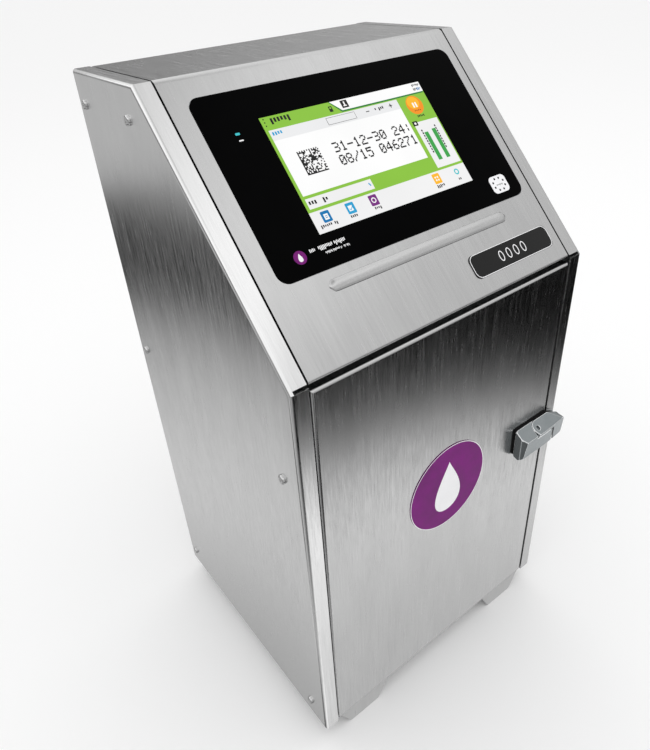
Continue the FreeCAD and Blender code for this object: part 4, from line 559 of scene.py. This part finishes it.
class Artwork:
    """Thin printed or lit shapes over a plane, in one mesh with one material for each colour."""

    LAYER = 0.03 * MM

    def __init__(self, name, place, slot):
        self.name, self.place, self.slot = name, place, slot
        self.bm = bmesh.new()
        self.colours = []

    def shape(self, outline, colour, layer=0, hole=None):
        """A thin plate with this outline. A hole has as many points as the outline."""
        if colour not in self.colours:
            self.colours.append(colour)
        index = self.colours.index(colour)
        loops = []
        for h in (layer * self.LAYER, (layer + 1) * self.LAYER):
            loops.append([self.bm.verts.new(self.place(x, y, h)) for x, y in outline])
            if hole:
                loops.append([self.bm.verts.new(self.place(x, y, h)) for x, y in hole])
        made = []
        count = len(outline)
        low, high = loops[0], loops[-2 if hole else -1]
        for k in range(count):
            n = (k + 1) % count
            made.append((low[k], low[n], high[n], high[k]))
            if hole:
                inner_low, inner_high = loops[1], loops[3]
                made.append((inner_low[n], inner_low[k], inner_high[k], inner_high[n]))
                made.append((high[k], high[n], inner_high[n], inner_high[k]))
                made.append((low[n], low[k], inner_low[k], inner_low[n]))
        if not hole:
            made += [tuple(high), tuple(reversed(low))]
        for corners in made:
            self.bm.faces.new(corners).material_index = index

    def box(self, x0, y0, x1, y1, colour, layer=0, radius=0.0):
        self.shape(rounded(x0, y0, x1, y1, radius), colour, layer)

    def words(self, x0, x1, y, height, colour, layer, seed):
        """A line of small upright strokes that stands for unreadable print."""
        chance = random.Random(seed)
        x = x0
        step = height * 0.36
        while x < x1:
            low = chance.choice((0.0, 0.0, 0.12))
            high = chance.choice((0.62, 0.72, 1.0))
            if chance.random() > 0.1:
                y0, y1 = y + (low - 0.5) * height, y + (high - 0.5) * height
                self.box(x, y0, x + step * 0.62, y1, colour, layer)
            x += step

    def done(self, body):
        bmesh.ops.recalc_face_normals(self.bm, faces=self.bm.faces)
        mesh = plain_mesh(self.bm, self.name)
        linked(self.name, mesh, body, [PAINTS[c] for c in self.colours])


LIT = {
    "white": (1.0, 1.0, 1.0), "field": (0.90, 0.90, 0.905), "row": (0.86, 0.865, 0.875),
    "green": (0.266, 0.565, 0.050), "deep_green": (0.017, 0.205, 0.038), "level_green": (0.045, 0.376, 0.070),
    "orange": (0.95, 0.30, 0.012), "amber": (1.0, 0.50, 0.02), "blue": (0.0, 0.18, 0.46),
    "sky": (0.02, 0.36, 0.66), "purple": (0.19, 0.024, 0.22), "ink": (0.008, 0.008, 0.008),
    "cyan": (0.05, 0.55, 0.60),
}
PAINTS = {name: glowing("lit_" + name, colour) for name, colour in LIT.items()}
PAINTS["print_white"] = M["emblem_white"]
PAINTS["print_purple"] = M["emblem_purple"]
PAINTS["print_black"] = M["chip_black"]
PAINTS["print_grey"] = textured("print_grey", (0.20, 0.22, 0.20), 0.1, 0.0, 0.4, 0.5, 0.003)

# Lit area of the display: shares of its width, and of its height from the top
SCREEN_X, SCREEN_S = -73.9 * MM, 42.3 * MM
SCREEN_W, SCREEN_H = 152.3 * MM, 91.8 * MM
GLASS_TOP = 0.31 * MM       # just clear of the glass, over the slope


def on_screen(u, v, h):
    return slope.at(SCREEN_X + u * SCREEN_W, -SCREEN_S - v * SCREEN_H, GLASS_TOP + h)


DOT_ROWS = {
    "0": "01110 10001 10011 10101 11001 10001 01110", "1": "00100 01100 00100 00100 00100 00100 01110",
    "2": "01110 10001 00001 00110 01000 10000 11111", "3": "11110 00001 00001 01110 00001 00001 11110",
    "4": "00010 00110 01010 10010 11111 00010 00010", "5": "11111 10000 11110 00001 00001 10001 01110",
    "6": "00110 01000 10000 11110 10001 10001 01110", "7": "11111 00001 00010 00100 01000 01000 01000",
    "8": "01110 10001 10001 01110 10001 10001 01110", "9": "01110 10001 10001 01111 00001 00010 01100",
    "-": "00000 00000 00000 11111 00000 00000 00000", ":": "00000 00100 00100 00000 00100 00100 00000",
    "/": "00001 00001 00010 00100 01000 10000 10000",
}


def dot_line(art, text, u0, u1, v0, v1, layer):
    """A line of dot-matrix digits."""
    across = (u1 - u0) / (6 * len(text) - 1)
    down = (v1 - v0) / 7
    over = 0.04                 # how much of a dot it laps over its neighbours
    for place, sign in enumerate(text):
        for row, dots in enumerate(DOT_ROWS.get(sign, "").split()):
            for column, dot in enumerate(dots):
                if dot == "1":
                    u = u0 + (6 * place + column) * across
                    v = v0 + row * down
                    end_u, end_v = u + (1 + over) * across, v + (1 + over) * down
                    art.box(u - over * across, v - over * down, end_u, end_v, "ink", layer)


def square_code(art, u0, u1, v0, v1, layer, cells=18):
    """A square code of random cells with two solid and two dotted sides."""
    chance = random.Random(4)
    across, down = (u1 - u0) / cells, (v1 - v0) / cells
    for row in range(cells):
        for column in range(cells):
            solid = column == 0 or row == cells - 1
            dotted = (row == 0 and column % 2 == 0) or (column == cells - 1 and row % 2 == 1)
            edge = row == 0 or column == cells - 1
            if solid or dotted or (not edge and chance.random() < 0.5):
                u, v = u0 + column * across, v0 + row * down
                art.box(u, v, u + across, v + down, "ink", layer)


def icon(art, u, v, colour, layer, mark):
    """A rounded square button with a small white mark."""
    half_u, half_v = 0.0245, 0.046
    art.box(u - half_u, v - half_v, u + half_u, v + half_v, colour, layer, 0.007)
    if mark == "ring":
        art.shape(ellipse(u, v, 0.014, 0.024), "white", layer + 1, ellipse(u, v, 0.009, 0.015))
    if mark == "page":
        art.box(u - 0.012, v - 0.022, u + 0.012, v + 0.026, "white", layer + 1)
        art.box(u - 0.006, v - 0.008, u + 0.006, v - 0.002, colour, layer + 2)
        art.box(u - 0.006, v + 0.006, u + 0.006, v + 0.012, colour, layer + 2)
    if mark == "tick":
        art.box(u - 0.013, v - 0.022, u + 0.011, v + 0.024, "white", layer + 1)
        corners = [(-0.008, 0), (-0.002, 0.010), (0.016, -0.022),
                   (0.018, -0.016), (-0.002, 0.018), (-0.010, 0.006)]
        tick = [(u + du, v + dv) for du, dv in corners]
        art.shape(tick, colour, layer + 2)
    if mark == "four":
        for du, dv in ((-0.012, -0.02), (0.003, -0.02), (-0.012, 0.006), (0.003, 0.006)):
            art.box(u + du, v + dv, u + du + 0.009, v + dv + 0.015, "white", layer + 1)


def screen():
    """A generic job page. Places are shares of the lit area; words are unreadable strokes."""
    art = Artwork("display_screen", on_screen, "display_glass")
    # Backgrounds: green all over, a white corner with a slanted end, the page, its rows and side panel
    art.box(0, 0, 1, 1, "green")
    slant = [(0.404, 0), (1, 0), (1, 0.094), (0.456, 0.094)]
    art.shape(slant, "white", 1)
    line = [(0.398, 0), (0.404, 0), (0.456, 0.094), (0.995, 0.094), (0.995, 0.107), (0.450, 0.107)]
    art.shape(line, "deep_green", 1)
    art.box(0.016, 0.115, 0.80, 0.685, "white", 1)
    art.box(0.016, 0.115, 0.80, 0.205, "row", 2)
    art.box(0.016, 0.710, 0.402, 0.797, "field", 1)
    art.box(0, 0.822, 1, 1, "field", 1)
    art.box(0.826, 0.360, 0.993, 0.800, "field", 1)
    # Header: menu dots, state, padlock, user and clock
    for v in (0.018, 0.046, 0.075):
        art.shape(ellipse(0.019, v, 0.0035, 0.006, 12), "ink", 1)
    art.words(0.052, 0.150, 0.046, 0.052, "ink", 1, 1)
    art.box(0.384, 0.036, 0.404, 0.086, "ink", 1, 0.002)
    art.box(0.389, 0.044, 0.399, 0.058, "green", 2)
    art.box(0.464, 0.010, 0.505, 0.078, "ink", 2, 0.002)
    art.box(0.480, 0.022, 0.488, 0.064, "white", 3)
    art.box(0.474, 0.056, 0.494, 0.064, "white", 3)
    art.words(0.935, 0.990, 0.026, 0.024, "ink", 2, 2)
    art.words(0.942, 0.962, 0.064, 0.024, "ink", 2, 3)
    art.words(0.966, 0.990, 0.064, 0.026, "blue", 2, 3)
    # Zoom row: job name, size box, minus, share and plus
    art.words(0.028, 0.082, 0.153, 0.040, "sky", 3, 4)
    art.box(0.338, 0.128, 0.514, 0.190, "ink", 3, 0.002)
    art.box(0.340, 0.131, 0.512, 0.187, "row", 4)
    art.box(0.582, 0.153, 0.604, 0.160, "ink", 3)
    art.words(0.640, 0.690, 0.157, 0.034, "ink", 3, 6)
    art.box(0.734, 0.152, 0.757, 0.159, "ink", 3)
    art.box(0.7425, 0.137, 0.7485, 0.174, "ink", 4)
    # Page: code, two lines of dots and the counter
    square_code(art, 0.096, 0.217, 0.334, 0.540, 2)
    dot_line(art, "31-12-30 24:", 0.297, 0.793, 0.338, 0.424, 2)
    dot_line(art, "08/15 046271", 0.297, 0.793, 0.452, 0.540, 2)
    art.words(0.026, 0.122, 0.757, 0.044, "ink", 2, 7)
    art.shape([(0.378, 0.742), (0.384, 0.736), (0.392, 0.762), (0.386, 0.768)], "sky", 2)
    # Side panel: pause button and two level bars with scales
    art.shape(ellipse(0.897, 0.203, 0.054, 0.090), "orange", 1)
    art.shape(ellipse(0.893, 0.180, 0.040, 0.058), "amber", 2)
    for du in (-0.014, 0.004):
        art.box(0.897 + du, 0.178, 0.907 + du, 0.226, "white", 3, 0.002)
    for k in range(4):
        art.shape(ellipse(0.880 + 0.012 * k, 0.256, 0.003, 0.005, 12), "ink", 3)
    art.words(0.877, 0.925, 0.314, 0.028, "ink", 1, 8)
    art.box(0.820, 0.346, 0.853, 0.390, "ink", 2, 0.003)
    art.shape(ellipse(0.837, 0.368, 0.007, 0.011, 16), "white", 3)
    for u, v0, v1 in ((0.862, 0.464, 0.735), (0.919, 0.450, 0.735)):
        art.box(u, v0, u + 0.026, v1, "level_green", 2)
        scale_u = u + (0.0285 if u > 0.9 else -0.0125)
        for k in range(9):
            mark_v = v0 - 0.03 + 0.026 * k
            art.box(scale_u, mark_v, scale_u + 0.008, mark_v + 0.018, "ink", 2)
    # Button row
    icon(art, 0.077, 0.884, "blue", 2, "page")
    icon(art, 0.220, 0.884, "sky", 2, "tick")
    icon(art, 0.361, 0.884, "purple", 2, "ring")
    icon(art, 0.784, 0.884, "amber", 2, "four")
    art.shape(ellipse(0.928, 0.880, 0.016, 0.028), "cyan", 2, ellipse(0.928, 0.880, 0.009, 0.016))
    labels = [(0.026, 0.130, 11), (0.198, 0.240, 12), (0.345, 0.380, 13),
              (0.762, 0.806, 14), (0.918, 0.938, 15)]
    for u0, u1, seed in labels:
        art.words(u0, u1, 0.954, 0.030, "ink", 2, seed)
    art.done("hood")


def on_glass(x, s, h):
    return slope.at(x, -s, GLASS_TOP + h)


def glass_marks():
    """Two small status lights and a generic maker's disc on the glass."""
    art = Artwork("glass_marks", on_glass, "display_glass")
    art.box(-96.4 * MM, 48.9 * MM, -92.8 * MM, 50.7 * MM, "cyan", 0, 0.7 * MM)
    art.box(-96.0 * MM, 54.4 * MM, -92.4 * MM, 55.4 * MM, "field", 0, 0.4 * MM)
    disc = (-96.1 * MM, 144.3 * MM)
    art.shape(ellipse(*disc, 4.9 * MM), "print_purple", 0)
    art.shape([(x, 2 * disc[1] - y) for x, y in drop(*disc, 6.2 * MM)], "print_white", 1)
    art.words(-87.5 * MM, -56 * MM, 142.9 * MM, 3.4 * MM, "print_white", 0, 21)
    art.words(-77 * MM, -56 * MM, 147.2 * MM, 1.8 * MM, "print_white", 0, 22)
    art.done("hood")


def on_tag(x, s, h):
    return slope.at(x, -s, TAG_PROUD + h)


TAG_X, TAG_S = 102.6 * MM, 144.3 * MM


def tag_marks():
    art = Artwork("tag_marks", on_tag, "tag_white")
    for k in range(8):
        turn = math.radians(22.5 + 45 * k)
        x, s = TAG_X + 6.3 * MM * math.cos(turn), TAG_S + 5.4 * MM * math.sin(turn)
        art.shape(ellipse(x, s, 0.95 * MM, 0.95 * MM, 16), "print_black", 0)
    art.words(TAG_X - 3.2 * MM, TAG_X + 3.2 * MM, TAG_S + 0.7 * MM, 1.6 * MM, "print_grey", 0, 31)
    art.done("hood")


BADGE = (33.0 * MM, 188.7 * MM, 123.8 * MM, 208.0 * MM)
BADGE_ROUND = 6.0 * MM


def badge_marks():
    """White line round the badge and four plain rings in its middle."""
    art = Artwork("badge_marks", lambda x, s, h: slope.at(x, -s, BADGE_TOP + h), "badge_black")
    x0, s0, x1, s1 = BADGE
    line, inset = 0.55 * MM, 0.15 * MM
    outer = rounded(x0 + inset, s0 + inset, x1 - inset, s1 - inset, BADGE_ROUND - inset)
    gap = inset + line
    inner = rounded(x0 + gap, s0 + gap, x1 - gap, s1 - gap, BADGE_ROUND - gap)
    art.shape(outer, "print_white", 0, inner)
    middle = (x0 + x1) / 2
    for k in range(4):
        x = middle + (k - 1.5) * 8.6 * MM
        ring = ellipse(x, (s0 + s1) / 2, 2.6 * MM, 4.4 * MM)
        hole = ellipse(x, (s0 + s1) / 2, 1.8 * MM, 3.6 * MM)
        art.shape(ring, "print_white", 0, hole)
    art.done("hood")


def height_over(plane, node_name):
    """How far a CAD node stands proud of a plane."""
    return max((v.co - plane.origin).dot(plane.normal) for v in frame["nodes"][node_name].data.vertices)


BADGE_TOP = height_over(slope, "badge_plate")
TAG_PROUD = height_over(slope, "scan_tag")
EMBLEM_TOP = height_over(door, "door_emblem")
EMBLEM_Z, EMBLEM_R = 241.5 * MM, 44.75 * MM


def emblem_marks():
    art = Artwork("emblem_marks", lambda x, z, h: door.at(x, z, EMBLEM_TOP + h), "emblem_purple")
    rim = ellipse(0, EMBLEM_Z, EMBLEM_R - 0.05 * MM, count=96)
    inner = ellipse(0, EMBLEM_Z, EMBLEM_R - 0.7 * MM, count=96)
    art.shape(rim, "print_white", 0, inner)
    art.shape(drop(0, EMBLEM_Z, 56 * MM), "print_white", 0)
    art.done("door")


screen()
glass_marks()
tag_marks()
badge_marks()
emblem_marks()


# Camera

CAMERA_PLACE = Vector((-310.14, -398.01, 643.29)) * MM
HEADING, PITCH, ROLL = math.radians(34.68), math.radians(-32.496), math.radians(-4.48)


def camera():
    """The main view. Heading turns clockwise from +Y, pitch lifts, roll lifts the right side."""
    data = bpy.data.cameras.new("camera")
    made = bpy.data.objects.new("camera", data)
    bpy.context.scene.collection.objects.link(made)
    ahead = Vector((math.sin(HEADING), math.cos(HEADING), 0))
    forward = ahead * math.cos(PITCH) + Vector((0, 0, math.sin(PITCH)))
    level_right = forward.cross(Vector((0, 0, 1))).normalized()
    level_up = level_right.cross(forward)
    right = level_right * math.cos(ROLL) + level_up * math.sin(ROLL)
    above = right.cross(forward)
    turn = Matrix((right, above, -forward)).transposed()
    made.matrix_world = Matrix.Translation(CAMERA_PLACE) @ turn.to_4x4()
    data.sensor_width = 36.0
    data.lens = 30.489
    data.shift_x, data.shift_y = 0.01168, -0.03503
    data.clip_start = 0.01
    bpy.context.scene.camera = made


camera()


# Floor, light and world

def floor():
    bm = bmesh.new()
    bmesh.ops.create_grid(bm, x_segments=8, y_segments=8, size=30.0)
    mesh = plain_mesh(bm, "floor")
    made = bpy.data.objects.new("floor", mesh)
    bpy.context.scene.collection.objects.link(made)
    mesh.materials.append(material("floor", grey(0.95), 0.0, 0.9)[0])
    made.visible_glossy = False


def area_light(name, place, target, size, power):
    data = bpy.data.lights.new(name, "AREA")
    data.shape = "RECTANGLE"
    data.size, data.size_y = size
    data.energy = power
    made = bpy.data.objects.new(name, data)
    bpy.context.scene.collection.objects.link(made)
    made.location = place
    made.rotation_euler = (Vector(target) - Vector(place)).to_track_quat("-Z", "Y").to_euler()
    return made


# What the sheets mirror: brightness by the height of a direction, as listed pairs, on the door's side
# (right) and behind the left panel (left)
STOPS_RIGHT = [
    (-0.95, 0.58), (-0.86, 0.64), (-0.80, 0.76), (-0.75, 0.93), (-0.71, 1.14), (-0.68, 1.04), (-0.655, 0.70),
    (-0.625, 0.32), (-0.60, 0.06), (-0.575, 0.00), (-0.37, 0.00), (-0.28, 0.42), (-0.10, 0.56), (0.12, 0.50),
    (0.30, 0.74), (0.62, 0.76), (0.68, 0.92), (0.73, 1.12), (0.80, 1.10), (0.84, 1.04), (0.88, 0.84),
    (0.93, 0.56),
]
STOPS_LEFT = [
    (-1.10, 0.24), (-1.02, 0.36), (-0.96, 0.53), (-0.90, 0.70), (-0.86, 0.69), (-0.80, 0.61), (-0.74, 0.54),
    (-0.69, 0.45), (-0.660, 0.25), (-0.635, 0.02), (-0.615, 0.00), (-0.520, 0.00), (-0.500, 0.17),
    (-0.47, 0.36), (-0.42, 0.48), (-0.34, 0.50), (-0.12, 0.50), (0.00, 0.27), (0.24, 0.18), (0.40, 1.10),
    (0.60, 1.20), (0.95, 0.80),
]
LOWEST = -1.2               # height at the left end of the colour ramps
BRIGHTEST = 1.5             # brightness at the white end of the colour ramps
TILT_RIGHT, TILT_LEFT = -0.20, -0.45    # how the bands slant across a panel
SLANT_TOP, SLANT_FULL = -0.10, -0.30    # the slant sets in between these heights
FACING_RIGHT = Vector((0.73, -0.68, 0))
ACROSS = Vector((0.68, 0.73, 0))
BLEND = 0.45                # the two sides mix where a direction faces right by less than this


def band_ramp(tree, height, stops):
    ramp = node(tree, "ValToRGB", {0: remap(tree, height, LOWEST, 1.0, 0.0, 1.0)})
    elements = ramp.color_ramp.elements
    while len(elements) < len(stops):
        elements.new(0.5)
    for element, (z, level) in zip(elements, stops):
        element.position = (z - LOWEST) / (1.0 - LOWEST)
        element.color = (*grey(level / BRIGHTEST), 1.0)
    return ramp.outputs[0]


def world():
    """Pale studio all round. What the brushed sheets reflect has soft bright and dark bands by height,
    one set on the door's side and one behind the left panel."""
    made = bpy.data.worlds.new("studio")
    bpy.context.scene.world = made
    made.use_nodes = True
    tree = made.node_tree
    background = tree.nodes["Background"]
    direction = node(tree, "TexCoord").outputs["Generated"]
    z = node(tree, "SeparateXYZ", {0: direction}).outputs[2]
    level = node(tree, "VectorMath", {0: direction, 1: (1, 1, 0)}, operation="MULTIPLY").outputs[0]
    level = node(tree, "VectorMath", {0: level}, operation="NORMALIZE").outputs[0]
    facing = node(tree, "VectorMath", {0: level, 1: FACING_RIGHT}, operation="DOT_PRODUCT").outputs["Value"]
    across = node(tree, "VectorMath", {0: level, 1: ACROSS}, operation="DOT_PRODUCT").outputs["Value"]
    below = remap(tree, z, SLANT_FULL, SLANT_TOP, 1.0, 0.0)
    slant = added(tree, across, below, "MULTIPLY")
    bands = []
    for tilt, stops in ((TILT_LEFT, STOPS_LEFT), (TILT_RIGHT, STOPS_RIGHT)):
        bands.append(band_ramp(tree, added(tree, z, added(tree, slant, tilt, "MULTIPLY")), stops))
    share = remap(tree, facing, -BLEND, BLEND, 0.0, 1.0)
    both = node(tree, "Mix", {"Factor": share, 6: bands[0], 7: bands[1]}, data_type="RGBA").outputs[2]
    lifted = node(tree, "VectorMath", {0: both, "Scale": BRIGHTEST}, operation="SCALE").outputs[0]
    path = node(tree, "LightPath")
    plain = added(tree, path.outputs["Is Camera Ray"], path.outputs["Is Diffuse Ray"], "MAXIMUM")
    sky = node(tree, "Mix", {"Factor": plain, 6: lifted}, data_type="RGBA")
    sky.inputs[7].default_value = (*grey(1.0), 1.0)
    tree.links.new(sky.outputs[2], background.inputs[0])
    background.inputs[1].default_value = 1.0


floor()
world()
area_light("overhead", (0.3, -0.4, 2.6), (0, 0, 0.2), (2.6, 2.6), 9.0).visible_glossy = False
bpy.context.scene.view_settings.view_transform = "Standard"
